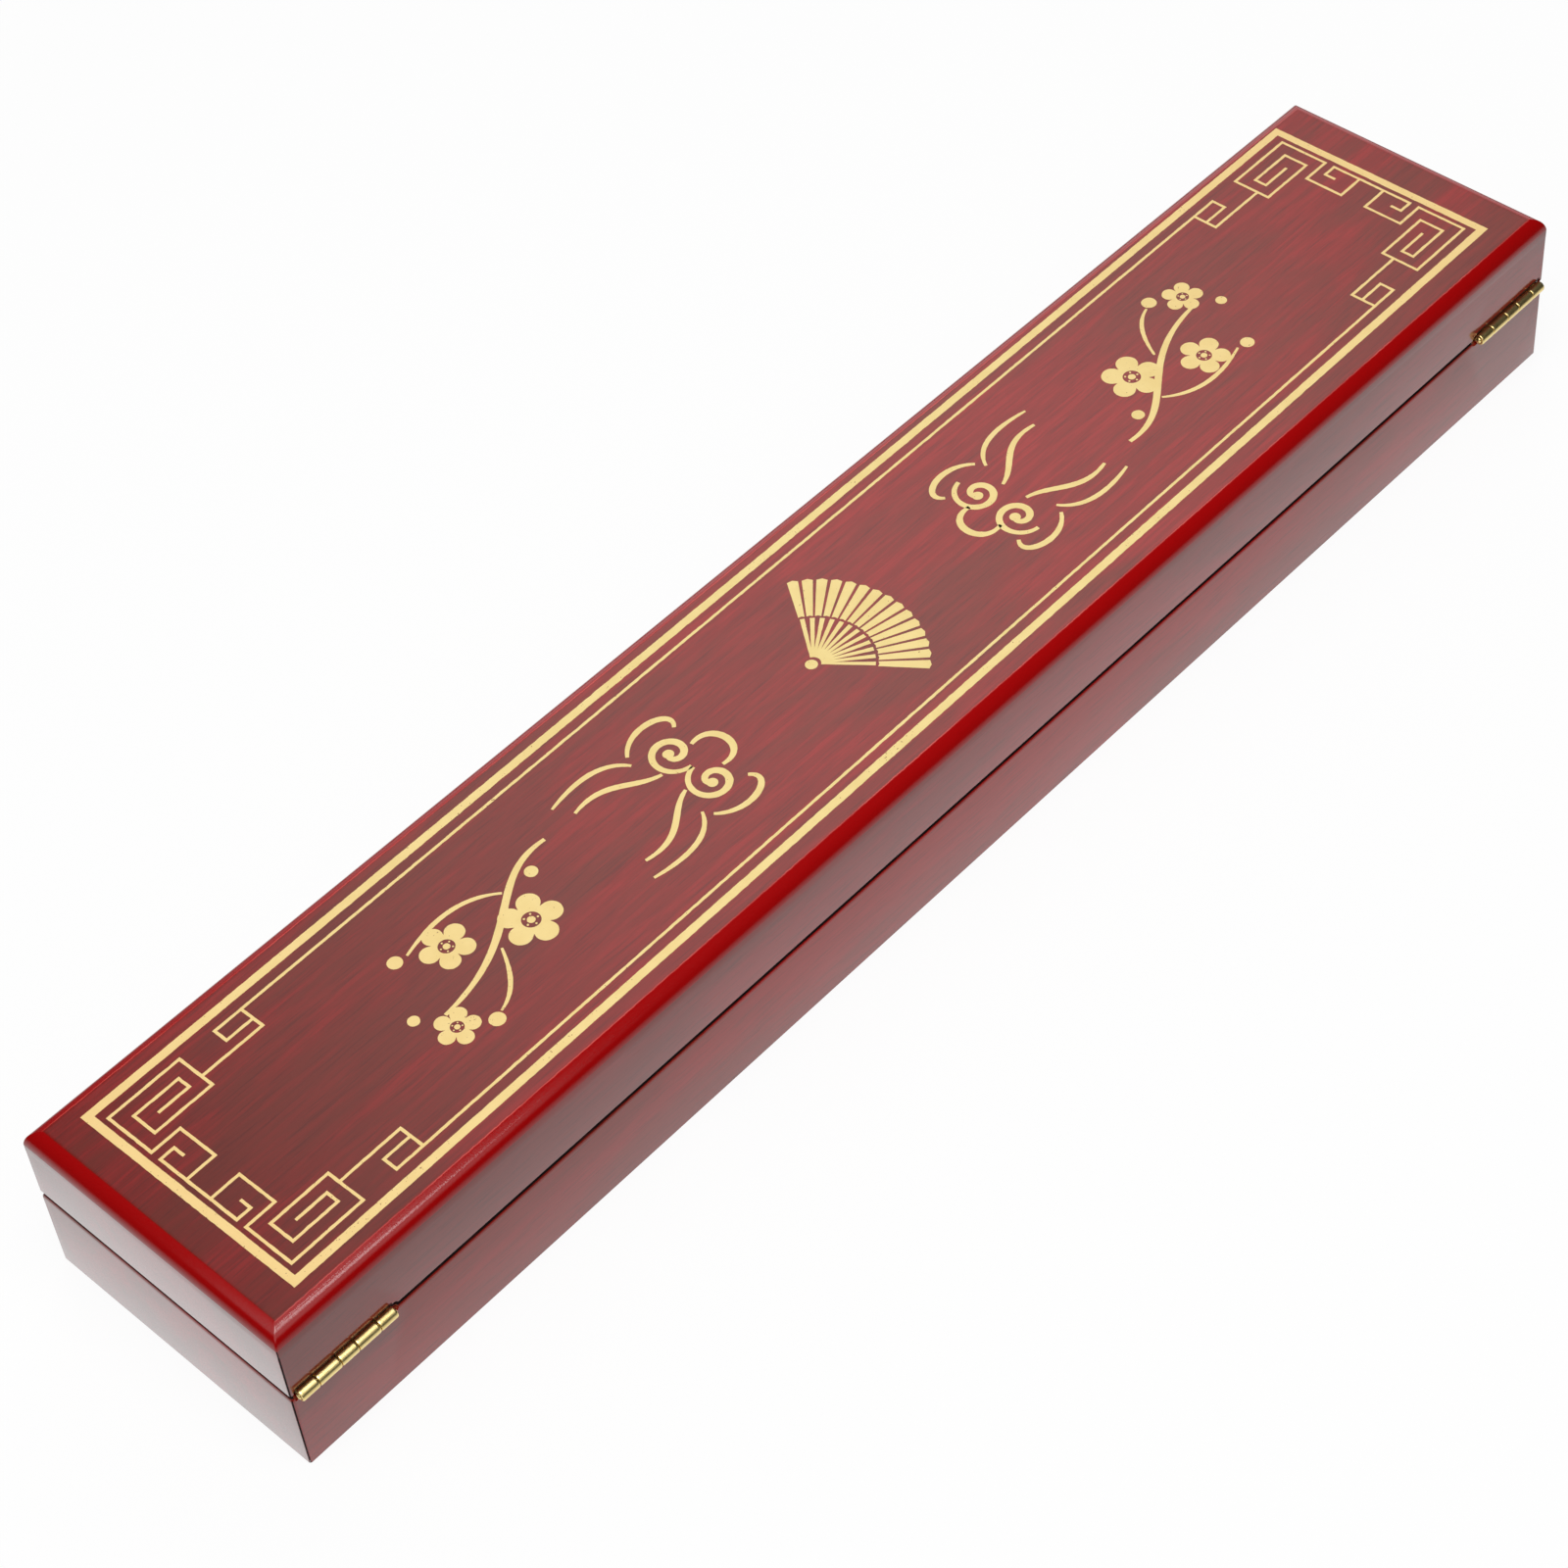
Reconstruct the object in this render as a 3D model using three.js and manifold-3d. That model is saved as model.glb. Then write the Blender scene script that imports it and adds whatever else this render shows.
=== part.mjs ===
// A lacquered wooden box for one folding fan: a mitred base and lid joined by two small brass
// butt hinges let into the rims, a brass hasp clasp at the front, a satin cradle with a recess
// for the closed fan and a satin pad under the lid.
//
// Millimetres, +Z up. The origin is the centre of the underside. +X runs along the box,
// the hinges are at the back (+Y) and the clasp is at the front (-Y).
import * as THREE from "three";
import { mergeVertices } from "three/addons/utils/BufferGeometryUtils.js";
import Module from "manifold-3d";

const wasm = await Module();
wasm.setup();

// Outside of the box. Base and lid heights meet at the middle of the seam.
const LENGTH = 360;
const WIDTH = 66;
const BASE_HEIGHT = 20.2;
const LID_HEIGHT = 17.4;
const SEAM_GAP = 0.3;

// Boards
const WALL = 6;
const TOP_THICKNESS = 5;
const TOP_ROUND = 3.2;
const BOTTOM_THICKNESS = 3;
const RABBET_WIDTH = 3;
const PANEL_PLAY = 0.1;
const MITRE_GLUE = 0.1;
const CORNER_EASE = 0.4;
const BASE_RIM_EASE = 0.8;
const LID_RIM_EASE = 0.3;
const FOOT_EASE = 0.25;

// Butt hinges: each has a barrel of five knuckles that stands proud of the back
const HINGE_LENGTH = 22;
const HINGE_FROM_END = 1.4;
const BARREL_RADIUS = 1.2;
const AXIS_BEHIND_BACK = 0.5;
const BASE_KNUCKLE = 3.85;
const KNUCKLE_GAP = 0.15;
const LEAF_THICKNESS = 0.7;
const LEAF_DEPTH = 4.6;
const MORTISE_PLAY = 0.15;
const POCKET_PLAY = 0.3;
const TROUGH_RUN_OUT = 1.2;
const LEAF_NAIL_FROM_END = 4;
const HINGE_PIN_RADIUS = 0.42;
const PIN_PLAY = 0.1;
const PIN_HEAD_LEDGE = 0.16;
const PIN_HEAD_RISE = 0.3;

// Nails
const NAIL_SHANK = 0.45;
const NAIL_LENGTH = 5;
const NAIL_PLAY = 0.12;
const FLAT_HEAD_RADIUS = 0.95;
const DOME_HEAD_RADIUS = 1.1;
const DOME_HEAD_RISE = 0.55;

// Hasp clasp at the middle of the front
const CLASP_THICKNESS = 0.8;
const CLASP_CLEARANCE = 0.3;
const CLASP_CORNER = 2.4;
const CLASP_PLATE_WIDTH = 20;
const CLASP_PLATE_HEIGHT = 9.2;
const CLASP_AXIS_ABOVE_SEAM = 4.2;
const CLASP_BARREL_RADIUS = 1.1;
const CLASP_PIN_RADIUS = 0.45;
const CLASP_KNUCKLE = 3.6;
const PLATE_NAIL_FROM_EDGE = 3.5;
const TONGUE_WIDTH = 10;
const TONGUE_BELOW_WINDOW = 1.4;
const TONGUE_LIP_RADIUS = 0.8;
const TONGUE_REST_DEG = 12;
const KEEPER_BESIDE_TONGUE = 3;
const KEEPER_HEIGHT = 9.6;
const KEEPER_BELOW_SEAM = 1.9;
const KEEPER_NAIL_FROM_EDGE = 1.5;
const NOSE_WIDTH = 4.2;
const NOSE_HEIGHT = 2.4;
const NOSE_REACH = 2.2;
const NOSE_BELOW_AXIS = 9.4;
const WINDOW_PLAY = 0.6;

// Satin cradle in the base and satin pad under the lid
const SOFT_CLEARANCE = 0.3;
const CRADLE_BELOW_RIM = 2;
const CRADLE_FLOOR = 4;
const CRADLE_END = 5;
const CRADLE_SIDE = 5;
const FAN_HEAD_WIDTH = 36;
const FAN_PIVOT_WIDTH = 28;
const LID_PAD_THICKNESS = 6;
const LID_PAD_CROWN = 1.4;
const LID_PAD_CORNER = 3;

// Places worked out from the sizes above
const HEIGHT = BASE_HEIGHT + LID_HEIGHT;
const BACK = WIDTH / 2;
const FRONT = -WIDTH / 2;
const BASE_RIM = BASE_HEIGHT - SEAM_GAP / 2;
const LID_RIM = BASE_HEIGHT + SEAM_GAP / 2;
const PANEL_UNDERSIDE = HEIGHT - TOP_THICKNESS;
const INSIDE_LENGTH = LENGTH - 2 * WALL;
const INSIDE_WIDTH = WIDTH - 2 * WALL;

const HINGE_CENTRE = LENGTH / 2 - HINGE_FROM_END - HINGE_LENGTH / 2;
const HINGE_AXIS_Y = BACK + AXIS_BEHIND_BACK;
const LID_KNUCKLE = (HINGE_LENGTH - 3 * BASE_KNUCKLE - 4 * KNUCKLE_GAP) / 2;
const NAIL_HOLE = NAIL_SHANK + NAIL_PLAY;

const PLATE_FACE = FRONT - CLASP_THICKNESS;
const CLASP_AXIS_Y = PLATE_FACE - CLASP_CLEARANCE - CLASP_THICKNESS / 2;
const CLASP_AXIS_Z = BASE_HEIGHT + CLASP_AXIS_ABOVE_SEAM;
const TONGUE_KNUCKLE = TONGUE_WIDTH - 2 * CLASP_KNUCKLE;
const KEEPER_WIDTH = TONGUE_WIDTH + 2 * KEEPER_BESIDE_TONGUE;
const TONGUE_LENGTH = NOSE_BELOW_AXIS + NOSE_HEIGHT / 2 + WINDOW_PLAY + TONGUE_BELOW_WINDOW;
const CLASP_PLATE_Z = CLASP_AXIS_Z + CLASP_PLATE_HEIGHT / 2 - CLASP_BARREL_RADIUS;
const KEEPER_Z = BASE_HEIGHT - KEEPER_BELOW_SEAM - KEEPER_HEIGHT / 2;
const NOSE_Z = CLASP_AXIS_Z - NOSE_BELOW_AXIS;

const CRADLE_Z = BOTTOM_THICKNESS + SOFT_CLEARANCE;
const CRADLE_TOP = BASE_RIM - CRADLE_BELOW_RIM;
const SOFT_LENGTH = INSIDE_LENGTH - 2 * SOFT_CLEARANCE;
const SOFT_WIDTH = INSIDE_WIDTH - 2 * SOFT_CLEARANCE;
const FAN_RECESS_LENGTH = SOFT_LENGTH - 2 * CRADLE_END;

const MATERIALS = {
  lacquer: new THREE.MeshStandardMaterial({ color: 0x7a2328, roughness: 0.25, metalness: 0 }),
  board: new THREE.MeshStandardMaterial({ color: 0x5a2220, roughness: 0.6, metalness: 0 }),
  brass: new THREE.MeshStandardMaterial({ color: 0xd8b04a, roughness: 0.3, metalness: 1 }),
  satin: new THREE.MeshStandardMaterial({ color: 0xd9a93c, roughness: 0.5, metalness: 0 }),
};

// An outline drawn in X and Y stands up as Y and Z and runs along X, or as X and Z along Y.
const ALONG_X = new THREE.Matrix4().makeBasis(
  new THREE.Vector3(0, 1, 0),
  new THREE.Vector3(0, 0, 1),
  new THREE.Vector3(1, 0, 0),
);
const ALONG_Y = new THREE.Matrix4().makeBasis(
  new THREE.Vector3(1, 0, 0),
  new THREE.Vector3(0, 0, 1),
  new THREE.Vector3(0, -1, 0),
);
const ALONG_Z = new THREE.Matrix4();
const RIGHT_ANGLE = Math.PI / 2;

// Turns a closed geometry into a solid that can be joined and cut.
function solidOf(geometry) {
  const bare = geometry.clone();
  bare.deleteAttribute("normal");
  bare.deleteAttribute("uv");
  const merged = mergeVertices(bare, 1e-4);
  return new wasm.Manifold(
    new wasm.Mesh({
      numProp: 3,
      vertProperties: merged.attributes.position.array,
      triVerts: new Uint32Array(merged.index.array),
    }),
  );
}

// Turns a solid back into a geometry with flat normals.
function geometryOf(solid) {
  const mesh = solid.getMesh();
  const positions = new Float32Array(mesh.numVert * 3);
  for (let i = 0; i < mesh.numVert; i++) {
    const start = i * mesh.numProp;
    positions.set(mesh.vertProperties.subarray(start, start + 3), i * 3);
  }
  const indexed = new THREE.BufferGeometry();
  indexed.setAttribute("position", new THREE.BufferAttribute(positions, 3));
  indexed.setIndex(new THREE.BufferAttribute(mesh.triVerts, 1));
  const flat = indexed.toNonIndexed();
  flat.computeVertexNormals();
  return flat;
}

// An outline extruded to both sides of its plane.
function extruded(shape, length, standing, curveSegments = 6) {
  const options = { depth: length, bevelEnabled: false, curveSegments };
  const geometry = new THREE.ExtrudeGeometry(shape, options);
  geometry.translate(0, 0, -length / 2);
  geometry.applyMatrix4(standing);
  return solidOf(geometry);
}

function block(width, depth, height, x, y, z) {
  return solidOf(new THREE.BoxGeometry(width, depth, height).translate(x, y, z));
}

// A round bar along X.
function rod(radius, length, x, y, z, sides = 20) {
  const geometry = new THREE.CylinderGeometry(radius, radius, length, sides);
  return solidOf(geometry.rotateZ(RIGHT_ANGLE).translate(x, y, z));
}

// A round bar along Z.
function post(radius, length, x, y, z, sides = 12) {
  const geometry = new THREE.CylinderGeometry(radius, radius, length, sides);
  return solidOf(geometry.rotateX(RIGHT_ANGLE).translate(x, y, z));
}

// A rectangle centred on the origin with four rounded corners.
function roundedRectangle(width, height, radius) {
  const x = width / 2 - radius;
  const y = height / 2 - radius;
  const shape = new THREE.Shape();
  shape.absarc(x, -y, radius, -RIGHT_ANGLE, 0, false);
  shape.absarc(x, y, radius, 0, RIGHT_ANGLE, false);
  shape.absarc(-x, y, radius, RIGHT_ANGLE, Math.PI, false);
  shape.absarc(-x, -y, radius, Math.PI, 3 * RIGHT_ANGLE, false);
  shape.closePath();
  return shape;
}

// A base wall's section, with its outer face at 0 and its inner face at -WALL: eased outer
// edges at foot and rim, and a rabbet that the bottom panel lies in.
function baseWallSection() {
  const shape = new THREE.Shape();
  shape.moveTo(-WALL, BOTTOM_THICKNESS);
  shape.lineTo(RABBET_WIDTH - WALL, BOTTOM_THICKNESS);
  shape.lineTo(RABBET_WIDTH - WALL, 0);
  shape.absarc(-FOOT_EASE, FOOT_EASE, FOOT_EASE, -RIGHT_ANGLE, 0, false);
  shape.absarc(-BASE_RIM_EASE, BASE_RIM - BASE_RIM_EASE, BASE_RIM_EASE, 0, RIGHT_ANGLE, false);
  shape.lineTo(-WALL, BASE_RIM);
  shape.closePath();
  return shape;
}

// A lid wall's section: it carries the top panel, and only its rim is eased.
function lidWallSection() {
  const shape = new THREE.Shape();
  shape.moveTo(-WALL, LID_RIM);
  shape.absarc(-LID_RIM_EASE, LID_RIM + LID_RIM_EASE, LID_RIM_EASE, -RIGHT_ANGLE, 0, false);
  shape.lineTo(0, PANEL_UNDERSIDE);
  shape.lineTo(-WALL, PANEL_UNDERSIDE);
  shape.closePath();
  return shape;
}

// A wall seen from above: a trapezoid with mitred ends and eased outer corners.
function mitrePlan(length) {
  const end = length / 2 - MITRE_GLUE / 2;
  const centre = end - CORNER_EASE;
  const shape = new THREE.Shape();
  shape.moveTo(WALL - end, -WALL);
  shape.absarc(-centre, -CORNER_EASE, CORNER_EASE, 1.5 * RIGHT_ANGLE, RIGHT_ANGLE, true);
  shape.absarc(centre, -CORNER_EASE, CORNER_EASE, RIGHT_ANGLE, RIGHT_ANGLE / 2, true);
  shape.lineTo(end - WALL, -WALL);
  shape.closePath();
  return shape;
}

// One mitred wall, its outer face so far from the middle of the box, turned to its side.
function wall(section, length, distance, degrees) {
  const run = extruded(section, length, ALONG_X);
  const plan = extruded(mitrePlan(length), 4 * HEIGHT, ALONG_Z);
  return run.intersect(plan).translate([0, distance, 0]).rotate([0, 0, degrees]);
}

// The four walls of the base or of the lid, by side.
function fourWalls(section) {
  return {
    back: wall(section, LENGTH, WIDTH / 2, 0),
    left: wall(section, WIDTH, LENGTH / 2, 90),
    front: wall(section, LENGTH, WIDTH / 2, 180),
    right: wall(section, WIDTH, LENGTH / 2, -90),
  };
}

// The lid's top panel: its upper edges are quarter rounds that meet in a mitre at each corner.
function topPanel() {
  const arch = (width) => {
    const edge = width / 2 - TOP_ROUND;
    const level = HEIGHT - TOP_ROUND;
    const shape = new THREE.Shape();
    shape.moveTo(-width / 2, PANEL_UNDERSIDE);
    shape.lineTo(width / 2, PANEL_UNDERSIDE);
    shape.absarc(edge, level, TOP_ROUND, 0, RIGHT_ANGLE, false);
    shape.absarc(-edge, level, TOP_ROUND, RIGHT_ANGLE, Math.PI, false);
    shape.closePath();
    return shape;
  };
  const plan = extruded(roundedRectangle(LENGTH, WIDTH, CORNER_EASE), 4 * HEIGHT, ALONG_Z);
  return extruded(arch(WIDTH), LENGTH, ALONG_X, 8)
    .intersect(extruded(arch(LENGTH), WIDTH, ALONG_Y, 8))
    .intersect(plan);
}

function bottomPanel() {
  const margin = 2 * (RABBET_WIDTH + PANEL_PLAY);
  const z = BOTTOM_THICKNESS / 2;
  return block(LENGTH - margin, WIDTH - margin, BOTTOM_THICKNESS, 0, 0, z);
}

// The five knuckles along a hinge, measured from its middle. The lid has the second and fourth.
function knuckles() {
  const spans = [];
  let x = -HINGE_LENGTH / 2;
  for (let i = 0; i < 5; i++) {
    const onLid = i % 2 === 1;
    const length = onLid ? LID_KNUCKLE : BASE_KNUCKLE;
    spans.push({ x: x + length / 2, length, onLid });
    x += length + KNUCKLE_GAP;
  }
  return spans;
}

// Where a leaf's two nails go, between the barrel and the leaf's inner edge.
function leafNailPlaces(hingeX) {
  const y = BACK - (LEAF_DEPTH + BARREL_RADIUS - AXIS_BEHIND_BACK) / 2;
  const reach = HINGE_LENGTH / 2 - LEAF_NAIL_FROM_END;
  return [-reach, reach].map((along) => ({ x: hingeX + along, y }));
}

// A cone that is widest at a leaf's outer face and narrows into the wood. side is -1 for the
// base's leaf, whose outer face looks up, and 1 for the lid's, whose outer face looks down.
function countersink(radius, nail, face, side) {
  const depth = LEAF_THICKNESS / 2;
  const cone = new THREE.CylinderGeometry(radius, radius - depth, depth, 16);
  cone.rotateX(-side * RIGHT_ANGLE);
  return solidOf(cone.translate(nail.x, nail.y, face + (side * depth) / 2));
}

// The level of a leaf's outer face, flush with its rim.
function leafFace(side) {
  return side < 0 ? BASE_RIM : LID_RIM;
}

// A hinge leaf: a flat plate in the rim, and every other knuckle of the barrel.
function hingeLeaf(hingeX, side) {
  const face = leafFace(side);
  const middle = face + (side * LEAF_THICKNESS) / 2;
  const inner = BACK - LEAF_DEPTH;
  const reach = HINGE_AXIS_Y - inner;
  const room = 2 * (BARREL_RADIUS + KNUCKLE_GAP);
  const plateY = inner + reach / 2;
  let leaf = block(HINGE_LENGTH, reach, LEAF_THICKNESS, hingeX, plateY, middle);
  for (const span of knuckles()) {
    const x = hingeX + span.x;
    if (span.onLid === side > 0) {
      leaf = leaf.add(rod(BARREL_RADIUS, span.length, x, HINGE_AXIS_Y, BASE_HEIGHT));
    } else {
      const width = span.length + 2 * KNUCKLE_GAP;
      leaf = leaf.subtract(block(width, room, room, x, HINGE_AXIS_Y, BASE_HEIGHT));
    }
  }
  const hole = HINGE_PIN_RADIUS + PIN_PLAY;
  leaf = leaf.subtract(rod(hole, 2 * HINGE_LENGTH, hingeX, HINGE_AXIS_Y, BASE_HEIGHT));
  for (const nail of leafNailPlaces(hingeX)) {
    leaf = leaf
      .subtract(post(NAIL_HOLE, 2 * LEAF_THICKNESS, nail.x, nail.y, middle))
      .subtract(countersink(FLAT_HEAD_RADIUS + NAIL_PLAY, nail, face, side));
  }
  return leaf;
}

// A pin along X with a low domed head just clear of each end of its barrel.
function headedPin(shank, barrel) {
  const under = barrel / 2 + PIN_PLAY / 2;
  const head = shank + PIN_HEAD_LEDGE;
  const half = [new THREE.Vector2(shank, under), new THREE.Vector2(head, under)];
  for (const degrees of [25, 50, 75]) {
    const angle = THREE.MathUtils.degToRad(degrees);
    const up = under + PIN_HEAD_RISE * Math.sin(angle);
    half.push(new THREE.Vector2(head * Math.cos(angle), up));
  }
  half.push(new THREE.Vector2(0, under + PIN_HEAD_RISE));
  const mirrored = half.map(({ x, y }) => new THREE.Vector2(x, -y)).reverse();
  return solidOf(new THREE.LatheGeometry([...mirrored, ...half], 20).rotateZ(-RIGHT_ANGLE));
}

function hingePin(hingeX) {
  const pin = headedPin(HINGE_PIN_RADIUS, HINGE_LENGTH);
  return pin.translate([hingeX, HINGE_AXIS_Y, BASE_HEIGHT]);
}

// The trough round a barrel: square past its outer end, and tapering out past its inner end.
function trough(hingeX) {
  const radius = BARREL_RADIUS + POCKET_PLAY;
  const end = HINGE_LENGTH / 2 + PIN_HEAD_RISE + POCKET_PLAY;
  const profile = [new THREE.Vector2(0, -end), new THREE.Vector2(radius, -end)];
  for (const degrees of [0, 30, 55, 75]) {
    const angle = THREE.MathUtils.degToRad(degrees);
    const along = end + TROUGH_RUN_OUT * Math.sin(angle);
    profile.push(new THREE.Vector2(radius * Math.cos(angle), along));
  }
  profile.push(new THREE.Vector2(0, end + TROUGH_RUN_OUT));
  const geometry = new THREE.LatheGeometry(profile, 28).rotateZ(Math.sign(hingeX) * RIGHT_ANGLE);
  return solidOf(geometry.translate(hingeX, HINGE_AXIS_Y, BASE_HEIGHT));
}

// What a leaf takes out of the wood: its mortise, the barrel's trough and the nails' holes.
function hingePocket(hingeX, side) {
  const face = leafFace(side);
  const depth = LEAF_THICKNESS + MORTISE_PLAY;
  const inner = BACK - LEAF_DEPTH - MORTISE_PLAY;
  const reach = HINGE_AXIS_Y - inner;
  const width = HINGE_LENGTH + 2 * MORTISE_PLAY;
  const mortise = block(width, reach, 2 * depth, hingeX, inner + reach / 2, face);
  let pocket = mortise.add(trough(hingeX));
  for (const nail of leafNailPlaces(hingeX)) {
    pocket = pocket.add(post(NAIL_HOLE, 2 * (NAIL_LENGTH + NAIL_PLAY), nail.x, nail.y, face));
  }
  return pocket;
}

// A flat-headed nail: its head fills the leaf's countersink and its shank goes into the wood.
function leafNail(nail, side) {
  const face = leafFace(side);
  const middle = face + (side * NAIL_LENGTH) / 2;
  const shank = post(NAIL_SHANK, NAIL_LENGTH, nail.x, nail.y, middle, 10);
  return shank.add(countersink(FLAT_HEAD_RADIUS, nail, face, side));
}

// Where a plate's two nails go, level with each other and so far in from its sides.
function nailPair(plateWidth, fromEdge, z) {
  const reach = plateWidth / 2 - fromEdge;
  return [-reach, reach].map((x) => ({ x, z }));
}

const PLATE_NAIL_Z = CLASP_PLATE_Z + CLASP_BARREL_RADIUS;
const PLATE_NAILS = nailPair(CLASP_PLATE_WIDTH, PLATE_NAIL_FROM_EDGE, PLATE_NAIL_Z);
const KEEPER_NAILS = nailPair(KEEPER_WIDTH, KEEPER_NAIL_FROM_EDGE, NOSE_Z);

// A round-headed nail through a plate on the front, its head on the plate's face.
function domeNail({ x, z }) {
  const profile = [
    new THREE.Vector2(0, -NAIL_LENGTH),
    new THREE.Vector2(NAIL_SHANK, -NAIL_LENGTH),
    new THREE.Vector2(NAIL_SHANK, 0),
  ];
  for (const degrees of [0, 25, 50, 70]) {
    const angle = THREE.MathUtils.degToRad(degrees);
    const up = DOME_HEAD_RISE * Math.sin(angle);
    profile.push(new THREE.Vector2(DOME_HEAD_RADIUS * Math.cos(angle), up));
  }
  profile.push(new THREE.Vector2(0, DOME_HEAD_RISE));
  const nail = new THREE.LatheGeometry(profile, 14).rotateX(Math.PI);
  return solidOf(nail.translate(x, PLATE_FACE, z));
}

// Takes nail holes out of a plate or a wall on the front.
function drilled(solid, nails) {
  for (const { x, z } of nails) {
    const length = 2 * (NAIL_LENGTH + NAIL_PLAY);
    const hole = new THREE.CylinderGeometry(NAIL_HOLE, NAIL_HOLE, length, 12);
    solid = solid.subtract(solidOf(hole.translate(x, PLATE_FACE, z)));
  }
  return solid;
}

// A brass plate with round corners, lying against the front.
function frontPlate(width, height, z) {
  const outline = roundedRectangle(width, height, CLASP_CORNER);
  const y = FRONT - CLASP_THICKNESS / 2;
  return extruded(outline, CLASP_THICKNESS, ALONG_Y, 5).translate([0, y, z]);
}

// The clasp's plate on the lid, with a knuckle to each side of the tongue's.
function claspPlate() {
  const centre = TONGUE_KNUCKLE / 2 + KNUCKLE_GAP + CLASP_KNUCKLE / 2;
  const room = 2 * (CLASP_BARREL_RADIUS + CLASP_CLEARANCE);
  const slotWidth = TONGUE_KNUCKLE + 2 * KNUCKLE_GAP;
  const slot = block(slotWidth, room, room, 0, CLASP_AXIS_Y, CLASP_AXIS_Z);
  let plate = frontPlate(CLASP_PLATE_WIDTH, CLASP_PLATE_HEIGHT, CLASP_PLATE_Z).subtract(slot);
  for (const x of [-centre, centre]) {
    plate = plate.add(rod(CLASP_BARREL_RADIUS, CLASP_KNUCKLE, x, CLASP_AXIS_Y, CLASP_AXIS_Z));
  }
  const hole = CLASP_PIN_RADIUS + PIN_PLAY;
  plate = plate.subtract(rod(hole, CLASP_PLATE_WIDTH, 0, CLASP_AXIS_Y, CLASP_AXIS_Z));
  return drilled(plate, PLATE_NAILS);
}

function claspPin() {
  const pin = headedPin(CLASP_PIN_RADIUS, TONGUE_WIDTH + 2 * KNUCKLE_GAP);
  return pin.translate([0, CLASP_AXIS_Y, CLASP_AXIS_Z]);
}

// The tongue, hanging straight down from its pin: a neck, a plate with round lower corners and
// a window for the nose, and a rolled lip for a finger nail.
function claspTongue() {
  const neck = TONGUE_KNUCKLE / 2;
  const side = TONGUE_WIDTH / 2;
  const shoulder = -CLASP_BARREL_RADIUS - CLASP_CLEARANCE;
  const cornerX = side - CLASP_CORNER;
  const cornerZ = CLASP_CORNER - TONGUE_LENGTH;
  const shape = new THREE.Shape();
  shape.moveTo(neck, 0);
  shape.lineTo(-neck, 0);
  shape.lineTo(-neck, shoulder);
  shape.lineTo(-side, shoulder);
  shape.absarc(-cornerX, cornerZ, CLASP_CORNER, Math.PI, 3 * RIGHT_ANGLE, false);
  shape.absarc(cornerX, cornerZ, CLASP_CORNER, -RIGHT_ANGLE, 0, false);
  shape.lineTo(side, shoulder);
  shape.lineTo(neck, shoulder);
  shape.closePath();
  const windowWidth = NOSE_WIDTH + 2 * WINDOW_PLAY;
  const windowHeight = NOSE_HEIGHT + 2 * WINDOW_PLAY;
  const window = block(windowWidth, 4 * CLASP_THICKNESS, windowHeight, 0, 0, -NOSE_BELOW_AXIS);
  const lipY = CLASP_THICKNESS / 2 - TONGUE_LIP_RADIUS;
  return extruded(shape, CLASP_THICKNESS, ALONG_Y, 5)
    .add(rod(CLASP_BARREL_RADIUS, TONGUE_KNUCKLE, 0, 0, 0))
    .add(rod(TONGUE_LIP_RADIUS, TONGUE_WIDTH / 2, 0, lipY, -TONGUE_LENGTH, 12))
    .subtract(rod(CLASP_PIN_RADIUS + PIN_PLAY, TONGUE_WIDTH, 0, 0, 0))
    .subtract(window);
}

// The keeper on the base: a plate with a nose that is rounded above and square below.
function claspKeeper() {
  const root = PLATE_FACE + CLASP_THICKNESS / 2;
  const tip = PLATE_FACE - NOSE_REACH;
  const top = NOSE_Z + NOSE_HEIGHT / 2;
  const under = NOSE_Z - NOSE_HEIGHT / 2;
  const nose = new THREE.Shape();
  nose.moveTo(root, under);
  nose.lineTo(root, top);
  nose.lineTo(PLATE_FACE, top);
  nose.quadraticCurveTo(tip, top, tip, under);
  nose.closePath();
  const plate = frontPlate(KEEPER_WIDTH, KEEPER_HEIGHT, KEEPER_Z);
  return drilled(plate.add(extruded(nose, NOSE_WIDTH, ALONG_X, 8)), KEEPER_NAILS);
}

// The closed fan's outline from above: round ends, wider at its head than at its pivot.
function fanOutline() {
  const head = FAN_HEAD_WIDTH / 2;
  const pivot = FAN_PIVOT_WIDTH / 2;
  const end = FAN_RECESS_LENGTH / 2;
  const shape = new THREE.Shape();
  shape.absarc(end - head, 0, head, -RIGHT_ANGLE, RIGHT_ANGLE, false);
  shape.absarc(pivot - end, 0, pivot, RIGHT_ANGLE, 3 * RIGHT_ANGLE, false);
  shape.closePath();
  return shape;
}

// The cradle: it fills the base, with the fan's recess and a round scoop for the fingers.
function fanCradle() {
  const height = CRADLE_TOP - CRADLE_Z;
  const depth = height - CRADLE_FLOOR;
  const body = block(SOFT_LENGTH, SOFT_WIDTH, height, 0, 0, CRADLE_Z + height / 2);
  const recess = extruded(fanOutline(), 2 * depth, ALONG_Z, 12).translate([0, 0, CRADLE_TOP]);
  const scoop = post(SOFT_WIDTH / 2 - CRADLE_SIDE, 2 * depth, 0, 0, CRADLE_TOP, 40);
  return body.subtract(recess.add(scoop));
}

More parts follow.
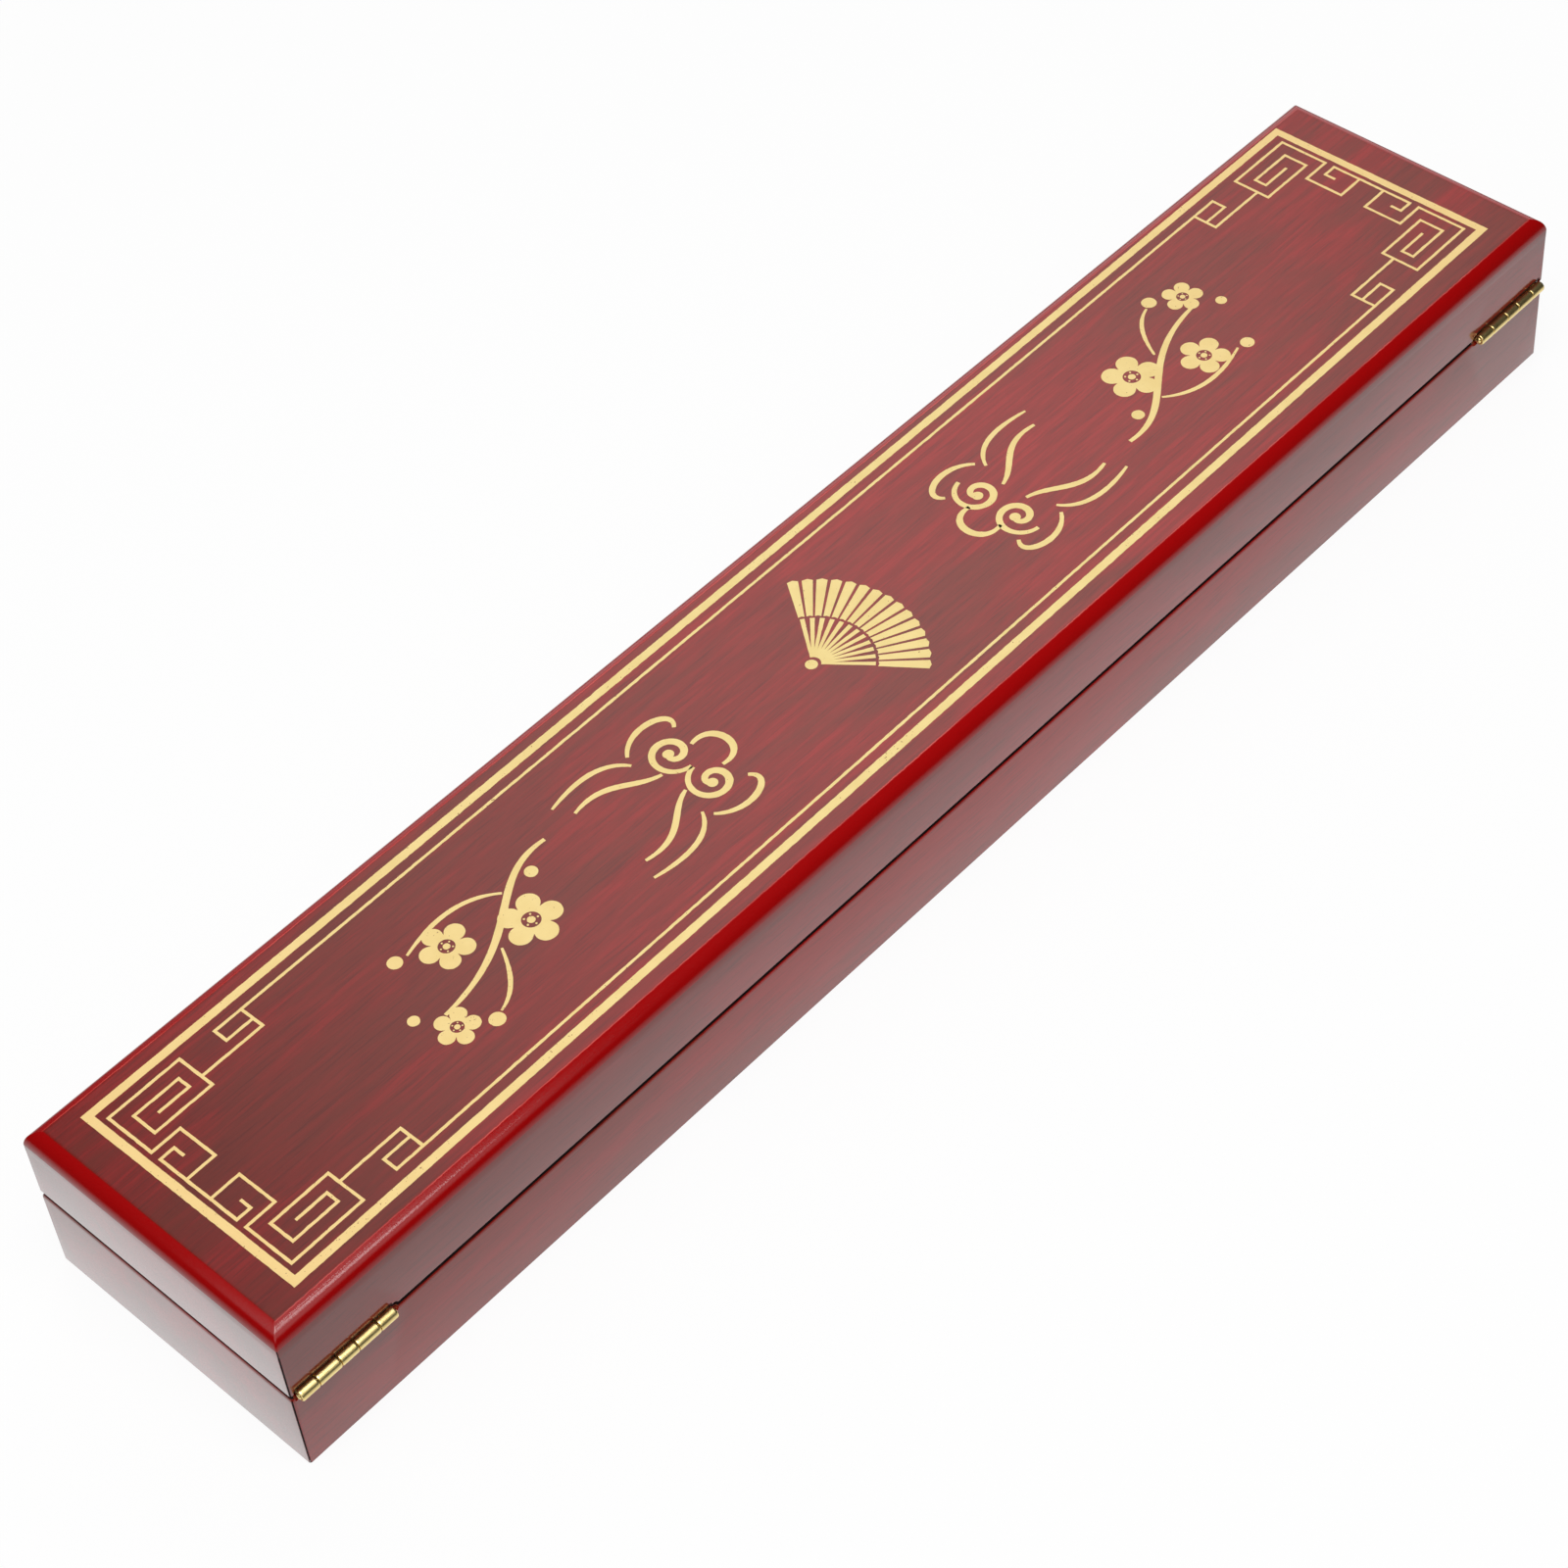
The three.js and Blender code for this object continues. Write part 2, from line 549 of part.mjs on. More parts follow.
// The pad under the lid: flat where it is glued, crowned below, its edges drawn in.
function lidPad() {
  const glued = PANEL_UNDERSIDE - SOFT_CLEARANCE;
  const lowest = glued - LID_PAD_THICKNESS;
  const shoulder = lowest + LID_PAD_CROWN;
  const arch = (width) => {
    const half = width / 2;
    const bend = half - LID_PAD_CORNER;
    const bendZ = shoulder - LID_PAD_CROWN / 2;
    const shape = new THREE.Shape();
    shape.moveTo(half, glued);
    shape.lineTo(-half, glued);
    shape.lineTo(-half, shoulder + LID_PAD_CORNER / 2);
    shape.quadraticCurveTo(-half, shoulder, -bend, bendZ);
    shape.quadraticCurveTo(0, lowest - LID_PAD_CROWN / 2, bend, bendZ);
    shape.quadraticCurveTo(half, shoulder, half, shoulder + LID_PAD_CORNER / 2);
    shape.closePath();
    return shape;
  };
  const plan = roundedRectangle(SOFT_LENGTH, SOFT_WIDTH, LID_PAD_CORNER);
  return extruded(arch(SOFT_WIDTH), SOFT_LENGTH, ALONG_X, 6)
    .intersect(extruded(arch(SOFT_LENGTH), SOFT_WIDTH, ALONG_Y, 6))
    .intersect(extruded(plan, 4 * HEIGHT, ALONG_Z, 4));
}

const part = new THREE.Group();
const base = new THREE.Group();
const lid = new THREE.Group();
const clasp = new THREE.Group();
part.add(base, lid);
lid.add(clasp);

function place(group, name, solid, material) {
  const mesh = new THREE.Mesh(geometryOf(solid), material);
  mesh.name = name;
  group.add(mesh);
}

const HINGES = [
  { name: "hinge_left", x: -HINGE_CENTRE, endWall: "left" },
  { name: "hinge_right", x: HINGE_CENTRE, endWall: "right" },
];
const SHELLS = [
  { name: "base", group: base, side: -1, section: baseWallSection(), nails: KEEPER_NAILS },
  { name: "lid", group: lid, side: 1, section: lidWallSection(), nails: PLATE_NAILS },
];

// Each shell's walls, with a pocket for each hinge across the corner and holes for the clasp's
// nails, and the hinge leaves with their nails
for (const shell of SHELLS) {
  const walls = fourWalls(shell.section);
  walls.front = drilled(walls.front, shell.nails);
  for (const hinge of HINGES) {
    const pocket = hingePocket(hinge.x, shell.side);
    walls.back = walls.back.subtract(pocket);
    walls[hinge.endWall] = walls[hinge.endWall].subtract(pocket);
  }
  for (const [side, solid] of Object.entries(walls)) {
    place(shell.group, `${shell.name}_${side}_wall`, solid, MATERIALS.lacquer);
  }
  for (const hinge of HINGES) {
    const leaf = `${hinge.name}_${shell.name}_leaf`;
    place(shell.group, leaf, hingeLeaf(hinge.x, shell.side), MATERIALS.brass);
    leafNailPlaces(hinge.x).forEach((nail, i) => {
      place(shell.group, `${leaf}_nail_${i + 1}`, leafNail(nail, shell.side), MATERIALS.brass);
    });
  }
}
for (const hinge of HINGES) {
  place(base, `${hinge.name}_pin`, hingePin(hinge.x), MATERIALS.brass);
}
place(base, "base_bottom_panel", bottomPanel(), MATERIALS.board);
place(lid, "lid_top_panel", topPanel(), MATERIALS.lacquer);

place(base, "fan_cradle", fanCradle(), MATERIALS.satin);
place(lid, "lid_pad", lidPad(), MATERIALS.satin);

place(lid, "clasp_plate", claspPlate(), MATERIALS.brass);
place(lid, "clasp_pin", claspPin(), MATERIALS.brass);
place(base, "clasp_keeper", claspKeeper(), MATERIALS.brass);
PLATE_NAILS.forEach((nail, i) => {
  place(lid, `clasp_plate_nail_${i + 1}`, domeNail(nail), MATERIALS.brass);
});
KEEPER_NAILS.forEach((nail, i) => {
  place(base, `clasp_keeper_nail_${i + 1}`, domeNail(nail), MATERIALS.brass);
});

// At rest the tongue hangs unlatched, swung out just clear of the nose
clasp.position.set(0, CLASP_AXIS_Y, CLASP_AXIS_Z);
clasp.rotation.x = -THREE.MathUtils.degToRad(TONGUE_REST_DEG);
place(clasp, "clasp_tongue", claspTongue(), MATERIALS.brass);

export default part;
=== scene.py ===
import logging
import math
from dataclasses import dataclass, field
from enum import Enum
from functools import reduce
from typing import Iterable, Sequence

import bmesh
import bpy
import numpy as np
from mathutils import Matrix, Vector


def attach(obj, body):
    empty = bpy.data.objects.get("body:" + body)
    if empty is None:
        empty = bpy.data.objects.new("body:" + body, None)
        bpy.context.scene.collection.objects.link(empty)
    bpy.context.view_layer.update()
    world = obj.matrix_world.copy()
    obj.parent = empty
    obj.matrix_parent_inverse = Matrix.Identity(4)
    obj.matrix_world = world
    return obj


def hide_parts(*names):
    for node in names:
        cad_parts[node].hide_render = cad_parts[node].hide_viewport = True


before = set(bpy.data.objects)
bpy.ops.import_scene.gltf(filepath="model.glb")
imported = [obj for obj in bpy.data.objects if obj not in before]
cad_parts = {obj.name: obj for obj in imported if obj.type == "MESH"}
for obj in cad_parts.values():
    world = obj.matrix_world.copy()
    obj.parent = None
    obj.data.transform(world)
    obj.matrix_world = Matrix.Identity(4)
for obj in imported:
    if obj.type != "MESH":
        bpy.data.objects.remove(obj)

Colour = tuple[float, float, float]
Pair = tuple[float, float]
Points = np.ndarray
Object = bpy.types.Object
Material = bpy.types.Material
Socket = bpy.types.NodeSocket

LOG = logging.getLogger("fan_box")
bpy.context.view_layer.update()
MM = 0.001
X, Y, Z = range(3)
CRISP = 32.0  # Degrees from which an edge stays sharp.
DOUBLE = 1e-4  # Millimetres within which two points become one.
ALONG_X = ((0, 1, 0), (0, 0, 1), (1, 0, 0))
OUT_OF_FRONT = ((1, 0, 0), (0, 0, 1), (0, -1, 0))
BLACK, WHITE = (0.0, 0.0, 0.0), (1.0, 1.0, 1.0)


class Side(Enum):
    """The four sides of the box, each with the angle that turns a wall from the back to it."""

    BACK = 0
    LEFT = 90
    FRONT = 180
    RIGHT = -90

    @property
    def lengthwise(self) -> bool:
        """Whether the side runs along the box."""
        return self in (Side.BACK, Side.FRONT)


class Grain(Enum):
    """Which way the wood's grain runs, as the angle that turns it to the X axis."""

    LENGTHWISE = 0
    CROSSWISE = 90


class Half(Enum):
    """The box's two shells. The value is the side of the seam that the shell lies on."""

    BASE = -1
    LID = 1

    @property
    def body(self) -> str:
        """The shell's body."""
        return self.name.lower()


@dataclass(frozen=True)
class Sizes:
    """Sizes that several sub-assemblies share, in millimetres."""

    length: float = 360.0
    width: float = 66.0
    wall: float = 6.0
    seam: float = 20.2
    gap: float = 0.3
    height: float = 37.6
    panel_under: float = 32.6
    top_round: Pair = (3.2, 3.1)
    corner: float = 0.4
    bottom: float = 3.0
    rabbet: float = 3.0

    @property
    def back(self) -> float:
        """Y of the outer face of the back."""
        return self.width / 2

    def rim(self, half: Half) -> float:
        """Z of a shell's rim."""
        return self.seam + half.value * self.gap / 2


HALF_LENGTH, HALF_WIDTH, HEIGHT = Sizes.length / 2 * MM, Sizes.width / 2 * MM, Sizes.height * MM


def arc(centre: tuple[float, float], radius: float, start: float, end: float, steps: int) -> Points:
    """Points of a circular arc: centre + radius * (cos a, sin a), with a from start to end.

    Args:
        centre: The arc's centre, in millimetres.
        radius: Its radius.
        start: First angle, in degrees.
        end: Last angle, in degrees.
        steps: Number of points.

    Returns:
        An array of steps rows and two columns.
    """
    angle = np.radians(np.linspace(start, end, steps))
    return np.stack([centre[0] + radius * np.cos(angle), centre[1] + radius * np.sin(angle)], axis=1)


def rounded_rectangle(width: float, height: float, radius: float, steps: int = 8) -> Points:
    """A closed rectangle outline about the origin, its four corners quarter circles.

    Args:
        width: Size along the first axis.
        height: Size along the second axis.
        radius: Corner radius.
        steps: Points to a corner.

    Returns:
        The outline's points, anticlockwise.
    """
    x, y = width / 2 - radius, height / 2 - radius
    corners = [((x, y), 0), ((-x, y), 90), ((-x, -y), 180), ((x, -y), 270)]
    return np.concatenate([arc(c, radius, a, a + 90, steps) for c, a in corners])


def turned(points: Points, degrees: float) -> Points:
    """The points turned about the Z axis by so many degrees."""
    a = math.radians(degrees)
    turn = np.array([[math.cos(a), -math.sin(a), 0], [math.sin(a), math.cos(a), 0], [0, 0, 1]])
    return points @ turn.T


def laid(outline: Points, axis: int, level: float) -> Points:
    """A flat outline as points in space, with one level along the axis that it lacks."""
    return np.insert(np.asarray(outline, float), axis, level, axis=1)


def values(items: bpy.types.bpy_prop_collection, key: str) -> Points:
    """A property of three numbers, read for each vertex or face."""
    found = np.empty(len(items) * 3)
    items.foreach_get(key, found)
    return found.reshape(-1, 3)


def coordinates(obj: Object) -> Points:
    """An object's vertices, in millimetres."""
    return values(obj.data.vertices, "co") / MM


def set_coordinates(obj: Object, points: Points) -> None:
    """Moves an object's vertices to points given in millimetres."""
    obj.data.vertices.foreach_set("co", (points * MM).ravel())
    obj.data.update()


class Piece:
    """Vertices and faces gathered from grids and caps, in millimetres, that become one object."""

    def __init__(self, name: str) -> None:
        """Starts an empty piece of that name."""
        self.name = name
        self.rows: list[Points] = []
        self.faces: list[list[int]] = []
        self.count = 0

    def grid(self, points: Points, close_u: bool = False, close_v: bool = False) -> Points:
        """Adds a grid of points and joins each point to its neighbours with four-sided faces.

        Args:
            points: An array of shape (rows, columns, 3).
            close_u: Whether the last row joins the first.
            close_v: Whether the last column joins the first.

        Returns:
            The points' indices, of shape (rows, columns).
        """
        index = np.arange(points.shape[0] * points.shape[1]).reshape(points.shape[:2]) + self.count
        self.rows.append(points.reshape(-1, 3))
        self.count += index.size
        wide = np.concatenate([index, index[:1]]) if close_u else index
        wide = np.concatenate([wide, wide[:, :1]], axis=1) if close_v else wide
        quads = np.stack([wide[:-1, :-1], wide[1:, :-1], wide[1:, 1:], wide[:-1, 1:]], axis=-1)
        self.faces += quads.reshape(-1, 4).tolist()
        return index

    def band(self, first: Points, second: Points) -> None:
        """Joins two lines of points, given by their indices, with a row of four-sided faces."""
        self.faces += np.stack([first[:-1], first[1:], second[1:], second[:-1]], axis=1).tolist()

    def cap(self, *loops: Points) -> None:
        """Closes each ring of points, given by their indices, with one flat face."""
        self.faces += [loop.tolist() for loop in loops]

    def made(self, sharp: float = CRISP, merge: float = DOUBLE) -> Object:
        """Makes the object at the origin, and tidies it with the same two limits."""
        mesh = bpy.data.meshes.new(self.name)
        mesh.from_pydata((np.concatenate(self.rows) * MM).tolist(), [], self.faces)
        obj = bpy.data.objects.new(self.name, mesh)
        bpy.context.scene.collection.objects.link(obj)
        tidy(obj, sharp, merge)
        return obj


def tidy(obj: Object, sharp: float = CRISP, merge: float = DOUBLE) -> None:
    """Merges an object's doubles, turns its faces outward and sets its smooth shading.

    Args:
        obj: The mesh object.
        sharp: The angle, in degrees, from which an edge stays crisp.
        merge: Points nearer than this, in millimetres, become one.
    """
    work = bmesh.new()
    work.from_mesh(obj.data)
    bmesh.ops.remove_doubles(work, verts=work.verts, dist=merge * MM)
    bmesh.ops.dissolve_degenerate(work, edges=work.edges, dist=merge * MM)
    bmesh.ops.recalc_face_normals(work, faces=work.faces)
    work.to_mesh(obj.data)
    work.free()
    obj.data.shade_smooth()
    obj.data.set_sharp_from_angle(angle=math.radians(sharp))


def lofted(name: str, rings: Iterable[Points], sharp: float = CRISP) -> Object:
    """Makes a closed tube through rings of equally many points, with both ends capped."""
    piece = Piece(name)
    index = piece.grid(np.stack(list(rings)), close_v=True)
    piece.cap(index[0], index[-1])
    return piece.made(sharp)


def block(
    size: tuple[float, float], middle: tuple[float, float], ends: Iterable[float], corner: float, steps: int
) -> Object:
    """Makes a block for cutting: a rounded rectangle in X and Z, carried along Y between its ends."""
    outline = rounded_rectangle(*size, corner, steps) + middle
    return lofted("block", [laid(outline, Y, y) for y in ends])


def revolved(
    name: str, profile: Iterable, sides: int, axes: Sequence[Sequence[float]], origin: Sequence[float]
) -> Object:
    """Makes a surface of revolution: (r cos a, r sin a, h) for each (r, h) of a profile, a once round.

    Args:
        name: The object's name.
        profile: Rows of radius and height, from pole to pole.
        sides: Steps round the axis.
        axes: The directions that its X, Y and Z axes are laid along.
        origin: Where its origin goes, in millimetres.

    Returns:
        The new object.
    """
    angle = np.linspace(0, 2 * np.pi, sides, endpoint=False)
    radius, height = np.array(profile, float).T[:, :, None]
    points = np.stack([radius * np.cos(angle), radius * np.sin(angle), height + 0 * angle], axis=-1)
    piece = Piece(name)
    piece.grid(points @ np.array(axes, float) + np.array(origin, float), close_v=True)
    return piece.made()


def dome(radius: float, rise: float, angles: Sequence[float], base: float = 0.0) -> list[Sequence[float]]:
    """The profile of a dome: a quarter ellipse at the given angles, in degrees, closed at its pole."""
    rows = [(radius * math.cos(a), base + rise * math.sin(a)) for a in np.radians(angles)]
    return [*rows, (0.0, base + rise)]


def pin(name: str, radius: float, reach: float, angles: Sequence, sides: int, origin: Sequence) -> Object:
    """Makes a pin along X with a low domed head past each end of its barrel.

    Args:
        name: The object's name.
        radius: The rod's radius.
        reach: Distance from the middle to the under side of a head.
        angles: Angles of the dome's points, in degrees.
        sides: Steps round the pin.
        origin: Where its middle goes, in millimetres.

    Returns:
        The new object.
    """
    head, rise, lip = 0.6, 0.3, 0.02
    profile = [(radius, reach - lip), (head - lip, reach - lip), *dome(head, rise, angles, reach)]
    profile = [(r, -h) for r, h in profile[::-1]] + profile
    return revolved(name, profile, sides, ALONG_X, origin)


def dress(obj: Object, shares: Sequence[tuple[Points, Material]]) -> None:
    """Gives some of an object's faces other materials.

    Args:
        obj: The object, which already has its main material.
        shares: Pairs of a mask over the faces and the material for them. A later one wins.
    """
    index = np.zeros(len(obj.data.polygons), np.int32)
    for mask, material in shares:
        obj.data.materials.append(material)
        index[mask] = len(obj.data.materials) - 1
    obj.data.polygons.foreach_set("material_index", index)


def combined(obj: Object, others: Sequence[Object], operation: str) -> Object:
    """Joins other closed objects to this one, or cuts them out of it, and removes them.

    Args:
        obj: The object that stays.
        others: The objects that it is joined to or cut with.
        operation: UNION or DIFFERENCE.

    Returns:
        The object, its mesh made final.
    """
    for other in others:
        change = obj.modifiers.new(other.name, "BOOLEAN")
        change.operation, change.solver, change.object = operation, "EXACT", other
    graph = bpy.context.evaluated_depsgraph_get()
    mesh = bpy.data.meshes.new_from_object(obj.evaluated_get(graph))
    obj.modifiers.clear()
    obj.data = mesh
    for other in others:
        bpy.data.objects.remove(other, do_unlink=True)
    tidy(obj)
    return obj


def finished(
    obj: Object, material: Material, body: str, stands_for: Sequence[str] = (), bevel: float = 0.0
) -> Object:
    """Gives an object its material and body, hides the CAD nodes it stands for, and reports it.

    Args:
        obj: The object.
        material: Its material.
        body: The body that it rides on.
        stands_for: CAD nodes that it replaces.
        bevel: Width of a small bevel on its crisp edges, in millimetres, or 0.

    Returns:
        The same object.
    """
    obj.data.materials.clear()
    obj.data.materials.append(material)
    if bevel:
        edge = obj.modifiers.new("eased_edges", "BEVEL")
        edge.width, edge.segments, edge.limit_method = bevel * MM, 2, "ANGLE"
        edge.angle_limit, edge.use_clamp_overlap = math.radians(40), True
    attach(obj, body)
    if stands_for:
        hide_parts(*stands_for)
    LOG.info("%s: %d faces on %s", obj.name, len(obj.data.polygons), body)
    return obj


class Nodes:
    """A node tree, with short ways to add nodes and join them."""

    def __init__(self, owner: Material | bpy.types.World) -> None:
        """Empties the owner's node tree."""
        owner.use_nodes = True
        self.tree = owner.node_tree
        self.tree.nodes.clear()

    def add(self, kind: str, inputs: dict | None = None, **settings: object) -> bpy.types.Node:
        """Adds a node.

        Args:
            kind: The node's type.
            inputs: Socket names or numbers, each with a value or with a socket to join it to.
            **settings: Attributes of the node itself.

        Returns:
            The node.
        """
        node = self.tree.nodes.new(kind)
        for key, value in settings.items():
            setattr(node, key, value)
        for key, value in (inputs or {}).items():
            self.set(node, key, value)
        return node

    def set(self, node: bpy.types.Node, key: str | int, value: object) -> None:
        """Gives one of a node's inputs a value, or joins it to a socket."""
        if isinstance(value, Socket):
            self.tree.links.new(value, node.inputs[key])
        elif isinstance(value, tuple) and len(value) == 3 and node.inputs[key].type == "RGBA":
            node.inputs[key].default_value = (*value, 1)
        else:
            node.inputs[key].default_value = value

    def steps(self, value: Socket, low: float, high: float, unit: float = 1.0) -> Socket:
        """A smooth step: 0 where the value is under low, 1 where it is over high, both in a unit."""
        inputs = {"Value": value, "From Min": low * unit, "From Max": high * unit}
        return self.add("ShaderNodeMapRange", inputs, interpolation_type="SMOOTHSTEP").outputs[0]

    def sum(self, operation: str, *numbers: object) -> Socket:
        """One sum of numbers or sockets, such as POWER of two or MULTIPLY_ADD of three."""
        return self.add("ShaderNodeMath", dict(enumerate(numbers)), operation=operation).outputs[0]

    def product(self, *numbers: object) -> Socket:
        """Numbers or sockets multiplied together."""
        return reduce(lambda a, b: self.sum("MULTIPLY", a, b), numbers)

    def highest(self, *numbers: object) -> Socket:
        """The highest of several numbers or sockets."""
        return reduce(lambda a, b: self.sum("MAXIMUM", a, b), numbers)

    def parts(self, vector: Socket) -> tuple[Socket, ...]:
        """A vector's X, Y and Z."""
        return tuple(self.add("ShaderNodeSeparateXYZ", {0: vector}).outputs)

    def rays(self) -> tuple[Socket, Socket]:
        """Whether a ray comes from the camera, if need be through glass, and whether it is mirrored."""
        path = self.add("ShaderNodeLightPath").outputs
        return self.highest(path["Is Camera Ray"], path["Is Transmission Ray"]), path["Is Glossy Ray"]


@dataclass(frozen=True)
class Layer:
    """A layer of noise in a finish, with a value of about 0.3 to 0.7.

    The scale is how many times it changes in a metre, or two such numbers, along and across the
    grain. Detail, roughness and bend say how many finer layers it has, how strong they are and how
    far they are drawn out of line. Between the two steps, if given, the value goes from 0 to 1.
    """

    scale: float | Pair
    detail: float
    roughness: float = 0.5
    bend: float = 0.0
    steps: Pair | None = None


class Recipe(Nodes):
    """A material and its node tree, with one shader joined to the output."""

    def __init__(self, name: str) -> None:
        """Starts the material."""
        self.material = bpy.data.materials.new(name)
        super().__init__(self.material)
        self.shader = self.add("ShaderNodeBsdfPrincipled")
        self.output = self.add("ShaderNodeOutputMaterial", {"Surface": self.shader.outputs[0]})

    def shade(self, **inputs: object) -> None:
        """Sets the shader's own sockets. Underscores stand for the spaces in their names."""
        for key, value in inputs.items():
            self.set(self.shader, key.replace("_", " "), value)

    def place(self) -> Socket:
        """Object coordinates, in metres."""
        return self.add("ShaderNodeTexCoord").outputs["Object"]

    def from_middle(self) -> Socket:
        """The square of the distance from the box's middle along X, as a share of half its length."""
        share = self.sum("DIVIDE", self.sum("ABSOLUTE", self.parts(self.place())[X]), HALF_LENGTH)
        return self.sum("POWER", share, 2.0)

    def layer(self, layer: Layer, turn: float = 0.0) -> Socket:
        """A layer's value, with its grain turned about Z by so many degrees."""
        even = not isinstance(layer.scale, tuple)
        along, across = (1, 1) if even else layer.scale
        inputs = {"Vector": self.place(), "Scale": (along, across, across)}
        inputs["Rotation"] = (0, 0, math.radians(turn))
        inputs = {"Vector": self.add("ShaderNodeMapping", inputs).outputs[0]}
        inputs |= {"Scale": layer.scale if even else 1.0, "Detail": layer.detail}
        inputs |= {"Roughness": layer.roughness, "Distortion": layer.bend}
        value = self.add("ShaderNodeTexNoise", inputs).outputs[0]
        return self.steps(value, *layer.steps) if layer.steps else value

    def blend(self, share: object, first: object, second: object) -> Socket:
        """A colour between two others."""
        return self.add("ShaderNodeMix", {0: share, 6: first, 7: second}, data_type="RGBA").outputs[2]

    def bump(self, height: Socket, strength: float, distance: float, over: Socket | None = None) -> Socket:
        """A bumped normal from a height, with its distance in millimetres, over another normal."""
        inputs = {"Height": height, "Strength": strength, "Distance": distance * MM}
        return self.add("ShaderNodeBump", inputs | ({"Normal": over} if over else {})).outputs[0]


@dataclass(frozen=True)
class Finish:
    """A finish: its name, and the way its material is painted."""

    name: str

    def paint(self, r: Recipe) -> None:
        """Sets the shader of an empty material."""
        raise NotImplementedError

    def made(self) -> Material:
        """Makes the material."""
        recipe = Recipe(self.name)
        self.paint(recipe)
        return recipe.material


@dataclass(frozen=True)
class Lacquer(Finish):
    """Clear-coated dark red lacquer over wood with short bright streaks along its grain."""

    grain: Grain = Grain.LENGTHWISE
    under_gloss: float = 0.05
    streaks: float = 0.45
    # The next two set painted shade: how much darker the colour gets towards both ends, and up the box.
    ends: float = 0.18
    upward_shade: float = 0.0
    brown: Colour = (0.225, 0.020, 0.009)
    red: Colour = (0.345, 0.009, 0.006)
    streak: Colour = (0.54, 0.014, 0.014)
    pore: Colour = (0.095, 0.008, 0.005)
    patches: Layer = Layer((11, 50), 4, 0.6, 0.6, (0.40, 0.60))
    broad: Layer = Layer((50, 760), 5, 0.66, 0.3, (0.46, 0.64))
    fine: Layer = Layer((120, 2600), 3, 0.55, 0.2, (0.47, 0.67))
    fibres: Layer = Layer((110, 3600), 2)
    peel: Layer = Layer(1300.0, 2)
    wave: Layer = Layer((18, 60), 1, 0.4)
    pore_steps: Pair = (0.52, 0.68)
    drift: float = 2.0

    def figure(self, r: Recipe) -> tuple[Socket, Socket]:
        """The wood's colour, and its fibres: patches, streaks and pores, all stretched along the grain.

        The broad streaks drift off the grain by a small angle. They are stronger where the wood is
        redder, and the pores are fainter in them.
        """
        turn = self.grain.value
        tone, fibres = r.layer(self.patches, turn), r.layer(self.fibres, turn)
        broad, fine = r.layer(self.broad, turn + self.drift), r.layer(self.fine, turn)
        share = r.product(r.sum("MULTIPLY_ADD", broad, 0.75, r.product(fine, 0.25)), self.streaks)
        share = r.product(share, r.sum("MULTIPLY_ADD", tone, 0.8, 0.6))
        colour = r.blend(share, r.blend(tone, self.brown, self.red), self.streak)
        dark = r.product(r.steps(fibres, *self.pore_steps), r.sum("SUBTRACT", 0.42, r.product(broad, 0.28)))
        return r.blend(dark, colour, self.pore), fibres

    def stained(self, r: Recipe, colour: Socket) -> Socket:
        """The colour with painted shade: darker by the square of the distance towards both ends, and evenly
        up the box.
        """
        # Painted shade: darker towards both ends and up the box.
        up = r.product(r.parts(r.place())[Z], self.upward_shade / HEIGHT)
        return r.blend(r.sum("ADD", r.product(r.from_middle(), self.ends), up), colour, BLACK)

    def edged(self, r: Recipe, colour: Socket, normal: Socket) -> tuple[Socket, Socket]:
        """The colour and the normal with whatever the board's edges add to them. Here they add nothing."""
        return colour, normal

    def paint(self, r: Recipe) -> None:
        """Paints the wood under a clear coat with a fine peel and slow waves."""
        colour, fibres = self.figure(r)
        wave = r.bump(r.layer(self.wave, self.grain.value), 0.2, 0.3)
        colour, normal = self.edged(r, colour, r.bump(r.layer(self.peel), 0.11, 0.03, wave))
        r.shade(Base_Color=self.stained(r, colour), Roughness=r.sum("MULTIPLY_ADD", fibres, 0.12, 0.24))
        r.shade(Specular_IOR_Level=self.under_gloss, Normal=normal)
        r.shade(Coat_Weight=1.0, Coat_Roughness=0.07, Coat_IOR=1.6, Coat_Normal=normal)


